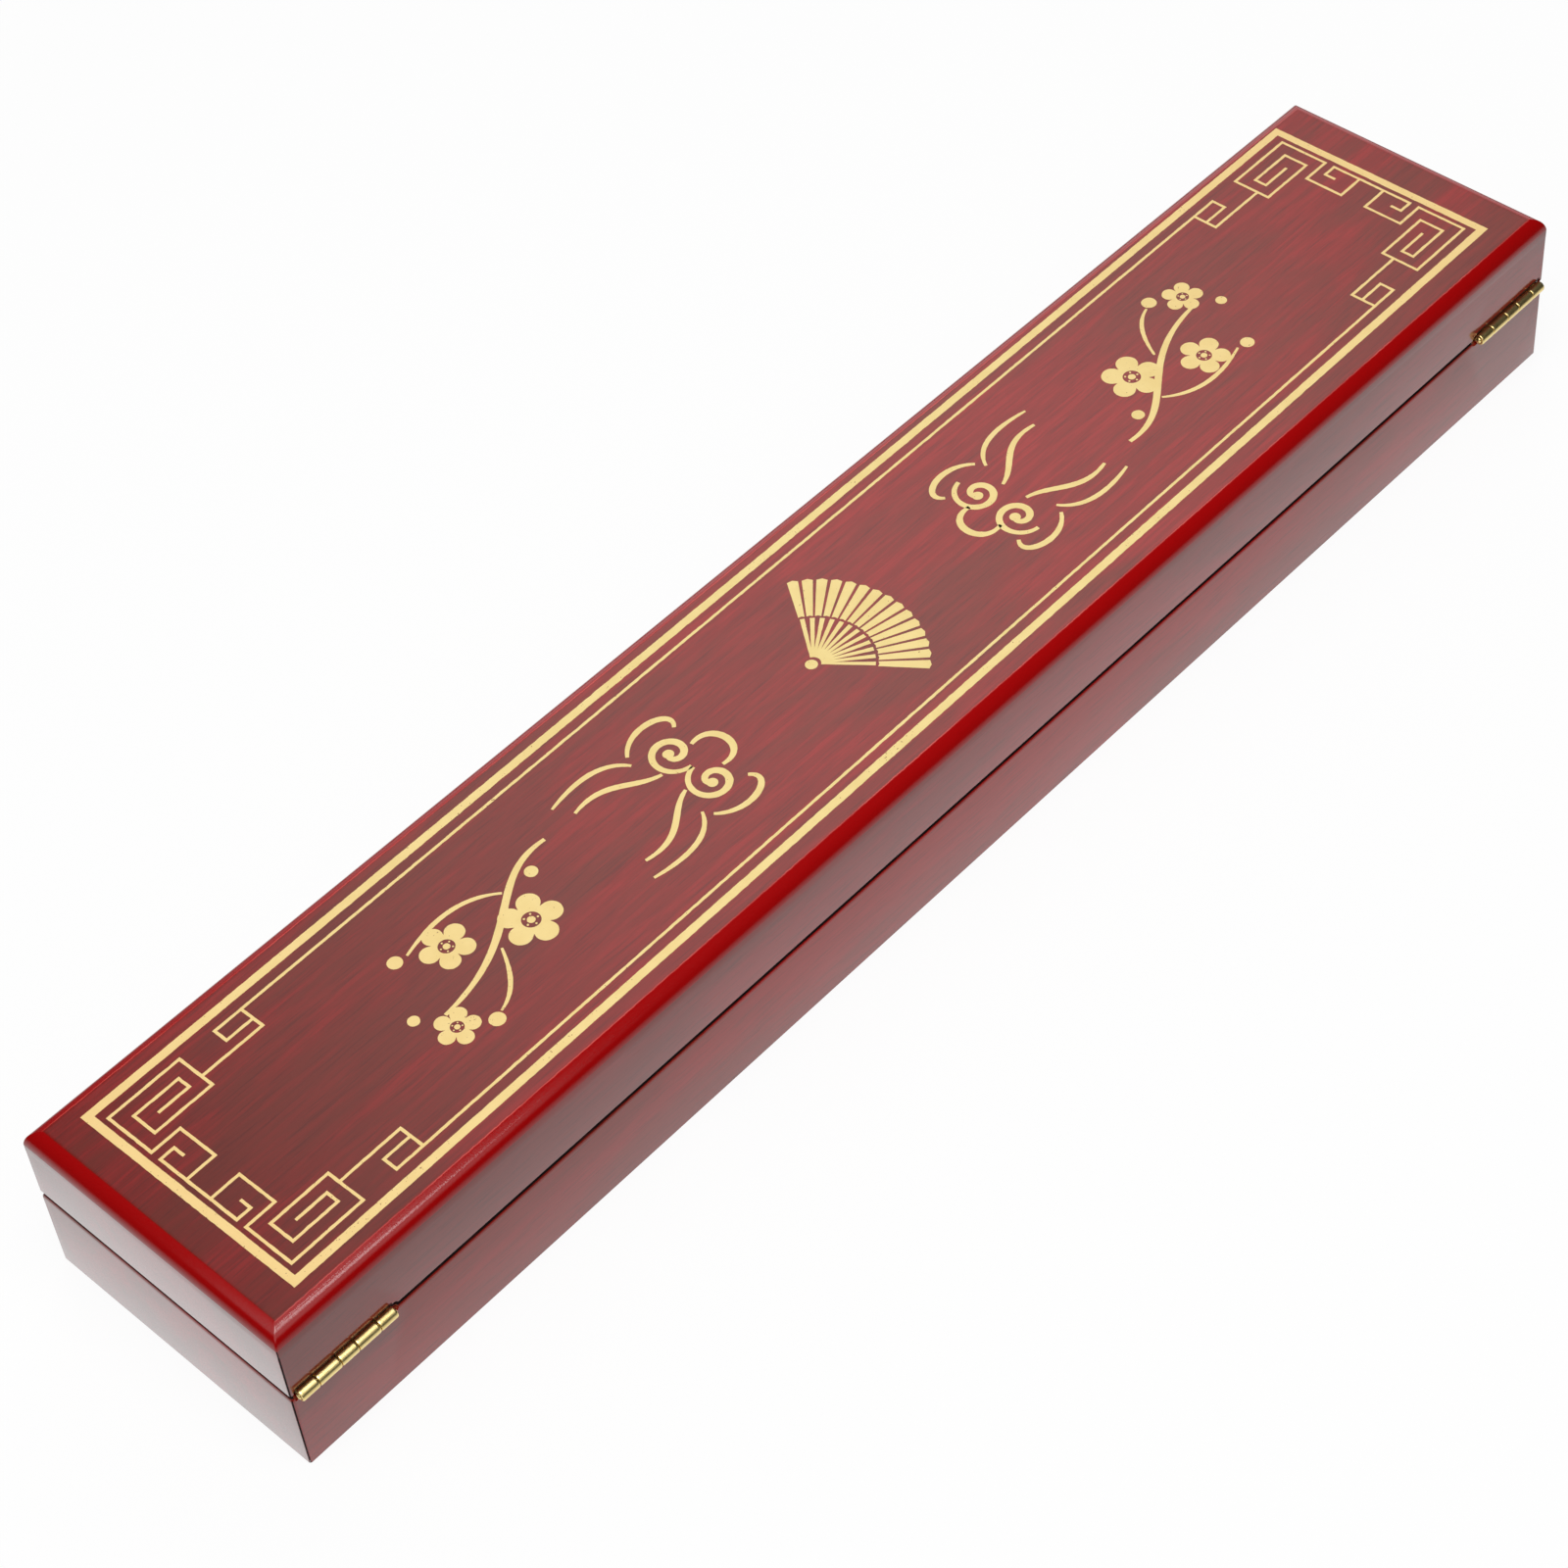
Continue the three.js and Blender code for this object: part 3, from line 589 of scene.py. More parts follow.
@dataclass(frozen=True)
class TopLacquer(Lacquer):
    """The same lacquer with a round edge: dyed a clear red, a little pitted, and with a painted highlight
    along its top.

    The dye ends and the painted highlight line lie between distances from the outline, in millimetres.
    """

    near_shade: float = 0.33
    dyed: Colour = (0.375, 0.0015, 0.002)
    edge_highlight: Colour = (0.80, 0.12, 0.10)
    dye_ends: Pair = (2.8, 3.2)
    edge_highlight_from: Pair = (2.70, 2.82)
    edge_highlight_to: Pair = (2.88, 3.02)
    edge_highlight_ends: Pair = (2.6, 3.2)
    ragged: Layer = Layer(700.0, 3, 0.6)
    edge_highlight_strength: Layer = Layer(38.0, 4, 0.65, steps=(0.38, 0.62))
    pits: Layer = Layer(3400.0, 2, 0.6)

    def figure(self, r: Recipe) -> tuple[Socket, Socket]:
        """The wood's colour and fibres, with painted shade: darker by the cube of the distance from the -X
        end.
        """
        colour, fibres = super().figure(r)
        along = r.sum("DIVIDE", r.sum("ADD", r.parts(r.place())[X], HALF_LENGTH), 2 * HALF_LENGTH)
        # Painted shade towards the +X end.
        return r.blend(r.product(r.sum("POWER", along, 3.0), self.near_shade), colour, BLACK), fibres

    def edged(self, r: Recipe, colour: Socket, normal: Socket) -> tuple[Socket, Socket]:
        """The colour and normal at a distance from the outline: dye and fine pits outside a ragged line.

        The painted highlight line lies just inside it along the two long sides, its strength a slow noise.
        """
        x, y, _ = r.parts(r.place())
        ragged = r.sum("MULTIPLY_ADD", r.layer(self.ragged), 0.4 * MM, -0.2 * MM)
        inset_x = r.sum("SUBTRACT", HALF_LENGTH, r.sum("ABSOLUTE", x))
        inset_y = r.sum("ADD", r.sum("SUBTRACT", HALF_WIDTH, r.sum("ABSOLUTE", y)), ragged)
        plain = r.steps(r.sum("MINIMUM", inset_x, inset_y), *self.dye_ends, MM)
        # Painted highlight: a pale line just inside the round edge along the two long sides.
        line = r.sum("SUBTRACT", *(r.steps(inset_y, *pair, MM) for pair in (self.edge_highlight_from, self.edge_highlight_to)))
        edge_highlight_strength = r.sum("MULTIPLY_ADD", r.layer(self.edge_highlight_strength), 0.45, 0.25)
        share = r.product(line, edge_highlight_strength, r.steps(inset_x, *self.edge_highlight_ends, MM))
        pits = r.product(r.layer(self.pits), r.sum("SUBTRACT", 1.0, plain))
        return r.blend(share, r.blend(plain, self.dyed, colour), self.edge_highlight), r.bump(pits, 0.6, 0.02, normal)


@dataclass(frozen=True)
class ShadeAndJointLacquer(Finish):
    """Nearly black, dull lacquer: painted shade on the rims that meet in the seam and on the flats above the
    hinges, and a dark line on sharp upright corners.
    """

    dark: Colour = (0.012, 0.0015, 0.0015)
    red_patch: Colour = (0.06, 0.006, 0.005)
    patches: Layer = Layer(150.0, 4, 0.6, steps=(0.45, 0.75))
    grain: Layer = Layer((300, 2400), 3)

    def paint(self, r: Recipe) -> None:
        """Paints slow patches where it is redder, and a fine grain."""
        colour = r.blend(r.layer(self.patches), self.dark, self.red_patch)
        r.shade(Base_Color=colour, Roughness=0.5, Specular_IOR_Level=0.15)
        r.shade(Normal=r.bump(r.layer(self.grain), 0.2, 0.03))


@dataclass(frozen=True)
class StainedBoard(Finish):
    """A thin board with a dark red stain, left matt, with its grain along the box."""

    light: Colour = (0.16, 0.045, 0.03)
    dark: Colour = (0.07, 0.014, 0.011)
    figure: Layer = Layer((14, 260), 5, 0.6, 1.2, (0.32, 0.68))
    pores: Layer = Layer((90, 2600), 2)
    pore_steps: Pair = (0.58, 0.7)

    def paint(self, r: Recipe) -> None:
        """Paints two layers of stretched noise: the figure, and the pores in it."""
        pores = r.layer(self.pores)
        colour = r.blend(r.layer(self.figure), self.dark, self.light)
        colour = r.blend(r.steps(pores, *self.pore_steps), colour, self.dark)
        r.shade(Base_Color=colour, Roughness=0.62, Normal=r.bump(pores, 0.3, 0.06))


@dataclass(frozen=True)
class Brass(Finish):
    """Yellow brass, polished along one direction and a little tarnished."""

    bright: Colour = (0.95, 0.76, 0.33)
    dull: Colour = (0.74, 0.52, 0.17)
    roughness: float = 0.33
    tarnish: float = 0.35
    lines: Layer = Layer((70, 3200), 3)
    patches: Layer = Layer(420.0, 4, 0.6, steps=(0.42, 0.72))

    def paint(self, r: Recipe) -> None:
        """Paints polishing lines along X, with slow changes of tone."""
        lines, share = r.layer(self.lines), r.product(r.layer(self.patches), self.tarnish)
        rough = r.sum("MULTIPLY_ADD", lines, 0.10, self.roughness - 0.05)
        r.shade(Base_Color=r.blend(share, self.bright, self.dull), Metallic=1.0)
        r.shade(Roughness=rough, Normal=r.bump(lines, 0.04, 0.006))


@dataclass(frozen=True)
class GoldPrint(Finish):
    """Flat pale gold ink, with pin-holes where the screen left the lacquer bare."""

    ink: Colour = (0.97, 0.765, 0.325)
    deep: Colour = (0.97 * 0.94, 0.765 * 0.92, 0.325 * 0.86)
    warm: Colour = (0.95, 0.60, 0.25)
    under: Colour = (0.20, 0.03, 0.02)
    fine: Layer = Layer(2300.0, 2)
    slow: Layer = Layer(45.0, 3, 0.6)
    tone: Layer = Layer(160.0, 4, 0.6, steps=(0.35, 0.7))
    hole_steps: Pair = (0.89, 0.93)

    def paint(self, r: Recipe) -> None:
        """Paints the ink: pin-holes are the peaks of a fine noise, where a slow one lets them.

        The ink is warmer by the square of the distance from the box's middle.
        """
        fine = r.layer(self.fine)
        holes = r.steps(r.sum("ADD", fine, r.product(r.layer(self.slow), 0.35)), *self.hole_steps)
        colour = r.blend(r.layer(self.tone), self.ink, self.deep)
        colour = r.blend(r.product(r.from_middle(), 0.5), colour, self.warm)
        colour = r.blend(r.product(holes, 0.75), colour, self.under)
        r.shade(Base_Color=colour, Roughness=0.46, Specular_IOR_Level=0.35, Normal=r.bump(fine, 0.12, 0.01))


@dataclass(frozen=True)
class Satin(Finish):
    """Golden satin: a fine twill with a soft sheen."""

    warm: Colour = (0.80, 0.50, 0.10)
    deep: Colour = (0.58, 0.31, 0.05)
    sheen: Colour = (1.0, 0.85, 0.5)
    twill: float = 1900.0
    slubs: Layer = Layer((60, 2200), 3)
    slub_steps: Pair = (0.55, 0.75)

    def paint(self, r: Recipe) -> None:
        """Paints threads across both axes, with slubs along the length."""
        twill = {"Vector": r.place(), "Scale": self.twill}
        across = r.add("ShaderNodeTexWave", twill, bands_direction="DIAGONAL").outputs[1]
        slubs = r.layer(self.slubs)
        colour = r.blend(r.product(across, 0.35), self.warm, self.deep)
        colour = r.blend(r.steps(slubs, *self.slub_steps), colour, self.deep)
        normal = r.bump(across, 0.25, 0.04, r.bump(slubs, 0.2, 0.05))
        r.shade(Base_Color=colour, Roughness=0.38, Specular_IOR_Level=0.6, Normal=normal)
        r.shade(Sheen_Weight=0.5, Sheen_Roughness=0.3, Sheen_Tint=self.sheen)


@dataclass(frozen=True)
class Finishes:
    """The box's materials, each made once."""

    lengthwise: Material
    crosswise: Material
    panel: Material
    inside: Material
    # Painted shadow on the flats above the hinges.
    margin: Material
    # Painted shade beside the seam, with dark upright corners.
    rim: Material
    board: Material
    brass: Material
    gold: Material
    satin: Material

    @classmethod
    def made(cls) -> "Finishes":
        """Makes every finish."""
        finishes = {
            "lengthwise": Lacquer(
                "red_lacquer_lengthwise", under_gloss=0.03, streaks=0.25, ends=0.15, upward_shade=0.3,
                brown=(0.36, 0.022, 0.010), red=(0.50, 0.012, 0.008), streak=(0.62, 0.016, 0.014),
            ),
            "crosswise": Lacquer(
                "red_lacquer_crosswise", Grain.CROSSWISE, under_gloss=0.8, streaks=0.2, ends=0.0,
            ),
            "panel": TopLacquer(
                "red_lacquer_panel", streaks=0.42, ends=0.08, brown=(0.215, 0.019, 0.009),
                red=(0.285, 0.010, 0.006), streak=(0.48, 0.014, 0.014),
            ),
            "inside": Lacquer("red_lacquer_inside", under_gloss=0.3, streaks=0.3, ends=0.0),
            # Painted shadow on the flats above the hinges.
            "margin": ShadeAndJointLacquer("hinge_shadow_lacquer", (0.045, 0.006, 0.005), (0.10, 0.013, 0.010)),
            # Painted shade beside the seam, with dark upright corners.
            "rim": ShadeAndJointLacquer("seam_shade_and_corner_lacquer"),
            "board": StainedBoard("stained_board"),
            "brass": Brass("yellow_brass"),
            "gold": GoldPrint("gold_print"),
            "satin": Satin("golden_satin"),
        }
        return cls(**{key: finish.made() for key, finish in finishes.items()})


@dataclass
class Part:
    """A part of the box, with the sizes and finishes that all parts share."""

    sizes: Sizes
    finishes: Finishes

    def brass(self, obj: Object, body: str, node: str, bevel: float = 0.0) -> None:
        """Finishes a brass object that stands for one CAD node."""
        finished(obj, self.finishes.brass, body, [node], bevel)


@dataclass
class Shell(Part):
    """Four mitred walls of the base or the lid, with the hinges' pockets cut out of them."""

    half: Half
    glue: float = 0.05
    base_rim_ease: float = 1.2
    lid_rim_ease: float = 0.7
    foot_ease: float = 0.12
    inner_ease: float = 0.3
    # How far the painted shade by the seam reaches: into the wall, and from the rim on the base and on the
    # lid's end and long walls.
    seam_shade_depth: float = 2.0
    seam_shade_base: float = 0.45
    seam_shade_lid: Pair = (0.12, 0.5)

    def section(self) -> Points:
        """A wall's section: rows of depth behind the outer face, and Z, once round."""
        s, rim = self.sizes, self.sizes.rim(self.half)
        inner = self.inner_ease
        if self.half is Half.BASE:
            foot, outer = self.foot_ease, self.base_rim_ease
            return np.concatenate([
                arc((foot, foot), foot, 270, 180, 10),
                arc((outer, rim - outer), outer, 180, 90, 8),
                [[self.seam_shade_depth, rim]],
                arc((s.wall - inner, rim - inner), inner, 90, 0, 5),
                [[s.wall, s.bottom], [s.wall - s.rabbet, s.bottom], [s.wall - s.rabbet, 0]],
            ])
        outer = self.lid_rim_ease
        return np.concatenate([
            arc((s.wall - inner, rim + inner), inner, 0, -90, 5),
            [[self.seam_shade_depth, rim]],
            arc((outer, rim + outer), outer, 270, 180, 8),
            [[0, s.panel_under], [s.wall, s.panel_under]],
        ])

    def wall(self, side: Side) -> Object:
        """Makes a wall: its section carried between an outer and an inner line, with mitred ends.

        A section point at depth d lies on the straight line from the outer contour to the inner
        one, at the share d / wall of the way, so both ends lie in the mitre.
        """
        s = self.sizes
        long, across = (s.length, s.width) if side.lengthwise else (s.width, s.length)
        half = long / 2 - self.glue
        bend = arc((half - s.corner, -s.corner), s.corner, 45, 90, 6)
        run = np.linspace(half - s.corner, s.corner - half, 40)[1:-1]
        outer = np.concatenate([bend, np.stack([run, 0 * run], axis=1), bend[::-1] * [-1, 1]])
        inner = np.linspace(half - s.wall, half - s.wall - 0.5, len(bend))
        inner = np.concatenate([inner, run * inner[-1] / (half - s.corner), -inner[::-1]])
        inner = np.stack([inner, np.full(len(inner), -s.wall)], axis=1)
        section = self.section()
        plan = outer[None] + (section[:, 0] / s.wall)[:, None, None] * (inner - outer)[None]
        height = np.broadcast_to(section[:, 1, None, None], plan.shape[:2] + (1,))
        points = np.concatenate([plan, height], axis=2) + [0, across / 2, 0]
        piece = Piece(f"{self.half.body}_{side.name.lower()}_board")
        index = piece.grid(turned(points, side.value), close_u=True)
        piece.cap(index[:, 0], index[:, -1])
        return piece.made()

    def dressed(self, obj: Object, lengthwise: bool) -> None:
        """Paints shade on a wall's rims by the seam and on the flats above the hinges, and darkens its
        upright corners and a long wall's inner face.
        """
        s, f = self.sizes, self.finishes
        middle, normal = values(obj.data.polygons, "center") / MM, values(obj.data.polygons, "normal")
        dark = self.seam_shade_base if self.half is Half.BASE else self.seam_shade_lid[lengthwise]
        depth = np.min([s.length / 2, s.back] - np.abs(middle[:, :2]), axis=1)
        # Painted shade: the rims' faces by the seam take the nearly black lacquer.
        rim = self.half.value * (middle[:, 2] - s.rim(self.half)) < dark
        corner = (np.min(np.abs(normal[:, :2]), axis=1) > 0.5) & (depth < s.corner)
        # Painted shadow: the shallow flats above the hinges' barrels.
        shade_strip_faces = (normal[:, 1] > 0.95) & (depth > 0.03) & (depth < 0.09)
        within = depth > s.wall - 2 * self.inner_ease
        shares = [(rim & (depth < self.seam_shade_depth) | corner, f.rim), (shade_strip_faces, f.margin)]
        dress(obj, shares + [(within, f.inside)] * lengthwise)

    def build(self, hinges: Sequence["ButtHinge"]) -> None:
        """Makes the four walls and finishes them."""
        body = self.half.body
        for side in Side:
            obj = self.wall(side)
            near = [h for h in hinges if side is Side.BACK or side is h.end]
            if near:
                combined(obj, [cutter for h in near for cutter in h.pocket(self.half)], "DIFFERENCE")
            material = self.finishes.lengthwise if side.lengthwise else self.finishes.crosswise
            finished(obj, material, body, [f"{body}_{side.name.lower()}_wall"])
            self.dressed(obj, side.lengthwise)


@dataclass
class TopPanel(Part):
    """The lid's top: flat, its four upper edges rounded like a quarter ellipse and mitred."""

    rings: Pair = (0.35, 1.0)
    crease: float = 10.0

    def build(self) -> None:
        """Makes the panel: a profile of inset and height carried round the rectangle.

        The profile is a quarter ellipse that starts a few degrees late, so that it meets the
        upright strip below it in a faint crease. That strip has the walls' finishes.

        A profile point with inset d lies at the share d / inward of the way from the outer
        rectangle, with its small round corners, to the inner one, whose corners are sharp.
        """
        s, f = self.sizes, self.finishes
        (inward, down), steps = s.top_round, 7
        outer = rounded_rectangle(s.length, s.width, s.corner, steps)
        x, y = s.length / 2 - inward, s.width / 2 - inward
        sharp = np.repeat(np.array([[x, y], [-x, y], [-x, -y], [x, -y]]), steps, axis=0)
        quarter = arc((1, -1), 1, 180 - self.crease, 90, 24)
        quarter = (quarter - [quarter[0, 0], 0]) * [inward / (1 - quarter[0, 0]), -down / quarter[0, 1]]
        flat = [[inward, s.height]] * len(self.rings)
        profile = np.concatenate([[[0, s.panel_under]], quarter + [0, s.height], flat])
        plan = outer[None] + (profile[:, 0] / inward)[:, None, None] * (sharp - outer)[None]
        plan[-len(self.rings):] -= np.array(self.rings)[:, None, None] * np.sign(sharp)
        obj = lofted("lid_top_board", [laid(ring, Z, z) for ring, z in zip(plan, profile[:, 1])], 50)
        finished(obj, f.panel, "lid", ["lid_top_panel"])
        normal = np.abs(values(obj.data.polygons, "normal"))
        strip, across = normal[:, 2] < 0.05, normal[:, 0] > normal[:, 1]
        corner = strip & (np.min(normal[:, :2], axis=1) > 0.5)
        dress(obj, [(strip, f.lengthwise), (strip & across, f.crosswise), (corner, f.rim)])


@dataclass
class BottomBoard(Part):
    """The panel that lies in the base's rabbet."""

    play: float = 0.1
    ease: float = 0.25

    def build(self) -> None:
        """Makes the board: a rounded rectangle lofted through its thickness with eased edges."""
        s = self.sizes
        rings, ease = [], self.ease
        for z, drawn in ((0.0, ease), (ease, 0.0), (s.bottom - ease, 0.0), (s.bottom, ease)):
            inset = 2 * (s.rabbet + self.play + drawn)
            rings.append(laid(rounded_rectangle(s.length - inset, s.width - inset, 0.4, 4), Z, z))
        board = lofted("base_bottom_board", rings)
        finished(board, self.finishes.board, "base", ["base_bottom_panel"])


@dataclass
class ButtHinge(Part):
    """A small brass butt hinge: two leaves of rolled sheet, their nails and a pin."""

    name: str
    end: Side
    length: float = 22.0
    from_end: float = 1.4
    radius: float = 1.2
    behind: float = 0.5
    base_knuckle: float = 3.85
    gap: float = 0.15
    sheet: float = 0.7
    depth: float = 4.6
    play: float = 0.15
    trough: float = 0.3
    pin: float = 0.42
    pin_room: float = 0.1
    nail_from_end: float = 4.0
    eased: float = 0.06
    leaf_from_face: float = 1.25
    lead: Pair = (1.4, 0.9)
    past_axis: float = 1.2
    run_out: Pair = (0.6, 0.75)
    # A shallow flat above the lid's trough that carries painted shadow: its reach from the seam and its
    # depth, and its reach past each end.
    margin: Pair = (2.0, 0.06)
    shade_strip_side: float = 0.2

    @property
    def x(self) -> float:
        """The hinge's middle along the box."""
        place = self.sizes.length / 2 - self.from_end - self.length / 2
        return place if self.end is Side.RIGHT else -place

    @property
    def axis(self) -> tuple[float, float]:
        """Y and Z of the pin."""
        return self.sizes.back + self.behind, self.sizes.seam

    def pocket(self, half: Half) -> list[Object]:
        """Makes the closed shapes that the hinge takes out of a shell: its mortise and its trough.

        On the lid there is also a shallow flat above the trough, which carries painted shadow.
        """
        s = self.sizes
        reach, inner = self.axis[0] + self.past_axis, s.back - self.depth - self.play
        size = (self.length + 2 * self.play, 2 * (self.sheet + self.play))
        mortise = block(size, (self.x, s.rim(half)), (inner, reach), 0.05, 2)
        radius = self.radius + self.trough
        past_end, share = self.run_out
        long = self.length / 2 + past_end
        run_out = dome(radius, share * radius, [20, 40, 60, 75], long)
        inward = 1.0 if self.end is Side.LEFT else -1.0
        axes = (*ALONG_X[:2], (inward, 0, 0))
        profile = [(0.0, -long), (radius, -long), (radius, long), *run_out]
        cutters = [mortise, revolved("trough", profile, 44, axes, (self.x, *self.axis))]
        if half is Half.LID:
            high, deep = self.margin
            ends = (s.back - deep, reach)
            size = (self.length + 2 * self.shade_strip_side, 2 * high)
            cutters.append(block(size, (self.x, s.seam), ends, 0.3, 4))
        return cutters

    def spans(self) -> list[tuple[float, float, Half]]:
        """Start, end and owner of the five knuckles, measured from the hinge's middle."""
        lid_knuckle = (self.length - 3 * self.base_knuckle - 4 * self.gap) / 2
        spans, x = [], -self.length / 2
        for i in range(5):
            half, long = (Half.LID, lid_knuckle) if i % 2 else (Half.BASE, self.base_knuckle)
            spans.append((x, x + long, half))
            x += long + self.gap
        return spans

    def roll(self, start: float, end: float, half: Half) -> Object:
        """Makes a knuckle: the sheet's line, straight and then round the pin, carried along X.

        The outer face follows the barrel's radius and the inner face the pin's bore. Near its
        ends the sheet thins by its edge round.
        """
        y, z = self.axis
        lead = [[self.sizes.back - behind - y] for behind in self.lead]
        face = self.sizes.rim(half) - z
        angle = np.radians(np.linspace(228, 548, 56))
        sides, bore = [], self.pin + self.pin_room
        for radius, level in ((self.radius, face + half.value * self.sheet), (bore, face)):
            circle = np.stack([radius * np.cos(angle), -half.value * radius * np.sin(angle)], axis=1)
            sides.append(np.concatenate([laid(lead, 1, level), circle]))
        outer, inner = sides
        middle, thick = (outer + inner) / 2, (outer - inner) / 2
        columns = []
        eases = [(0.0, 0.17), (0.05, 0.07), (0.16, 0.02), (0.3, 0.0), (0.42, 0.0)]
        for x, ease in [(start + d, e) for d, e in eases] + [(end - d, e) for d, e in eases[::-1]]:
            reach = thick * (1 - 2 * ease / self.sheet)
            loop = np.concatenate([middle + reach, (middle - reach)[::-1]])
            columns.append(laid(loop + [y, z], X, x + self.x))
        piece = Piece("knuckle")
        index = piece.grid(np.array(columns), close_v=True)
        for ring in (index[0], index[-1]):
            piece.band(ring[:len(outer)], ring[len(outer):][::-1])
        return piece.made()

    def leaf(self, half: Half) -> None:
        """Makes a leaf: a flat plate in the rim, joined to its knuckles, with a nail at each side."""
        s, body = self.sizes, half.body
        name = f"{self.name}_{body}_leaf"
        low = s.rim(half)
        inner, outer = s.back - self.depth, s.back - self.leaf_from_face
        outline = rounded_rectangle(self.length, outer - inner, 0.5, 6)
        rings = []
        for rise, ease in ((0.0, self.eased), (self.eased, 0), (self.sheet, 0)):
            scale = np.array([1 - 2 * ease / self.length, 1 - 2 * ease / (outer - inner)])
            rings.append(laid(outline * scale + [self.x, (inner + outer) / 2], Z, low + half.value * rise))
        plate = lofted(name, rings)
        combined(plate, [self.roll(a, b, h) for a, b, h in self.spans() if h is half], "UNION")
        self.brass(plate, body, name)
        y = s.back - (self.depth + self.radius - self.behind) / 2
        head = [(0, 0.04), (0.45, 0.035), (0.85, 0.0), (0.95, -0.06), (0.6, -0.4), (0.45, -0.55)]
        axes = ((1, 0, 0), (0, 1, 0), (0, 0, -half.value))
        for i, along in enumerate((-1, 1), 1):
            x = self.x + along * (self.length / 2 - self.nail_from_end)
            nail = revolved(f"{name}_nail_{i}_head", [*head, (0.45, -4.6), (0, -5)], 32, axes, (x, y, low))
            self.brass(nail, body, f"{name}_nail_{i}")

    def build(self) -> None:
        """Makes both leaves and the pin, whose domed ends show at the barrel's ends."""
        for half in Half:
            self.leaf(half)
        name, reach = f"{self.name}_pin", self.length / 2 + 0.05
        rod = pin(f"{name}_rod", self.pin, reach, [0, 20, 40, 60, 78], 36, (self.x, *self.axis))
        self.brass(rod, "base", name)


@dataclass
class Ornament(Part):
    """Flat gold print on the lid: strips, strokes and filled shapes, each a thin closed solid."""

    name: str
    rise: float = 0.03
    sunk: float = 0.05
    layer: float = 0.003
    offset: Pair = (0.71, -0.99)
    turn: float = 0.0072
    ragged: float = 0.028
    rng: np.random.Generator = field(default_factory=lambda: np.random.default_rng(7))

    def __post_init__(self) -> None:
        """Starts the print's piece."""
        self.piece = Piece(self.name)
        self.bands = 0

    def put(self, left: Points, right: Points, closed: bool = False) -> None:
        """Adds a flat band between two lines of equal length, with its top, bottom and rims.

        The band's section is carried from the left line to the right one: bottom, top, top, bottom.
        Bands lie at five slightly different heights, so that no two that cross share a face.
        """
        self.bands += 1
        height = self.sizes.height
        top, low = height + self.rise - self.layer * (self.bands % 5), height - self.sunk
        c, s = math.cos(self.turn), math.sin(self.turn)
        rings = []
        for (x, y), z in ((left.T, low), (left.T, top), (right.T, top), (right.T, low)):
            rings.append(laid(np.stack([c * x - s * y, s * x + c * y], axis=1) + self.offset, Z, z))
        index = self.piece.grid(np.array(rings), close_u=True, close_v=closed)
        if not closed:
            self.piece.cap(index[:, 0], index[:, -1])

    def edge(self, count: int) -> Points:
        """A column of small smooth offsets for a ragged print edge."""
        noise = self.rng.normal(0, 1, count + 2)
        return (self.ragged * (noise[:-2] + 2 * noise[1:-1] + noise[2:]) / 3)[:, None]

    def strip(self, path: Points, width: float, closed: bool = False) -> None:
        """A strip of even width along a line with square corners, which are mitred.

        Each corner's offset is the sum of its two edges' normals, divided by one plus their dot.
        Its edges are ragged but for the points within a short way of a corner.
        """
        step = (np.roll(path, -1, axis=0) - path)[: len(path) if closed else -1]
        along = step / np.linalg.norm(step, axis=1, keepdims=True)
        normal = np.stack([-along[:, 1], along[:, 0]], axis=1)
        if closed:
            before = np.roll(normal, 1, axis=0)
        else:
            before = np.concatenate([normal[:1], normal])
            normal = np.concatenate([normal, normal[-1:]])
            path = path.astype(float)
            path[0] -= along[0] * width / 2
            path[-1] += along[-1] * width / 2
        corner = (before + normal) / (1 + np.sum(before * normal, axis=1, keepdims=True))
        lines = [path, path + corner * width / 2, path - corner * width / 2]
        if closed:
            lines = [np.concatenate([line, line[:1]]) for line in lines]
        at = np.concatenate([[0], np.cumsum(np.linalg.norm(np.diff(lines[0], axis=0), axis=1))])
        fine = np.unique(np.concatenate([at, np.arange(0, at[-1], 0.45)]))
        free = np.min(np.abs(fine[:, None] - at[None]), axis=1, keepdims=True) >= 0.35
        left, right = (np.stack([np.interp(fine, at, row) for row in line.T], axis=1) for line in lines[1:])
        across = left - right
        across /= np.linalg.norm(across, axis=1, keepdims=True)
        left = left + across * self.edge(len(fine)) * free
        right = right - across * self.edge(len(fine)) * free
        end = len(fine) - closed
        self.put(left[:end], right[:end], closed)

    def stroke(self, path: Points, widths: Points) -> None:
        """A brush stroke: a smooth line with a width at each point, measured across its tangent."""
        tangent = np.gradient(path, axis=0)
        tangent /= np.linalg.norm(tangent, axis=1, keepdims=True)
        normal = np.stack([-tangent[:, 1], tangent[:, 0]], axis=1)
        reach = (widths / 2)[:, None] + self.edge(len(path)) * 0.6
        self.put(path + normal * reach, path - normal * reach)

    def ring(self, centre: Points, outer: Points, inner: Points) -> None:
        """A closed band between two outlines about a centre, given as radii at even angles."""
        angle = np.linspace(0, 2 * np.pi, len(outer), endpoint=False)
        ray = np.stack([np.cos(angle), np.sin(angle)], axis=1)
        wobble = self.edge(len(outer)) * 0.6
        self.put(centre + ray * (outer[:, None] + wobble), centre + ray * inner[:, None], closed=True)

    def dot(self, centre: Points, radius: float) -> None:
        """A small round spot."""
        self.ring(centre, np.full(20, radius), np.full(20, 0.02))

    def done(self) -> None:
        """Makes the print one piece on the lid."""
        finished(self.piece.made(merge=1e-6), self.finishes.gold, "lid")


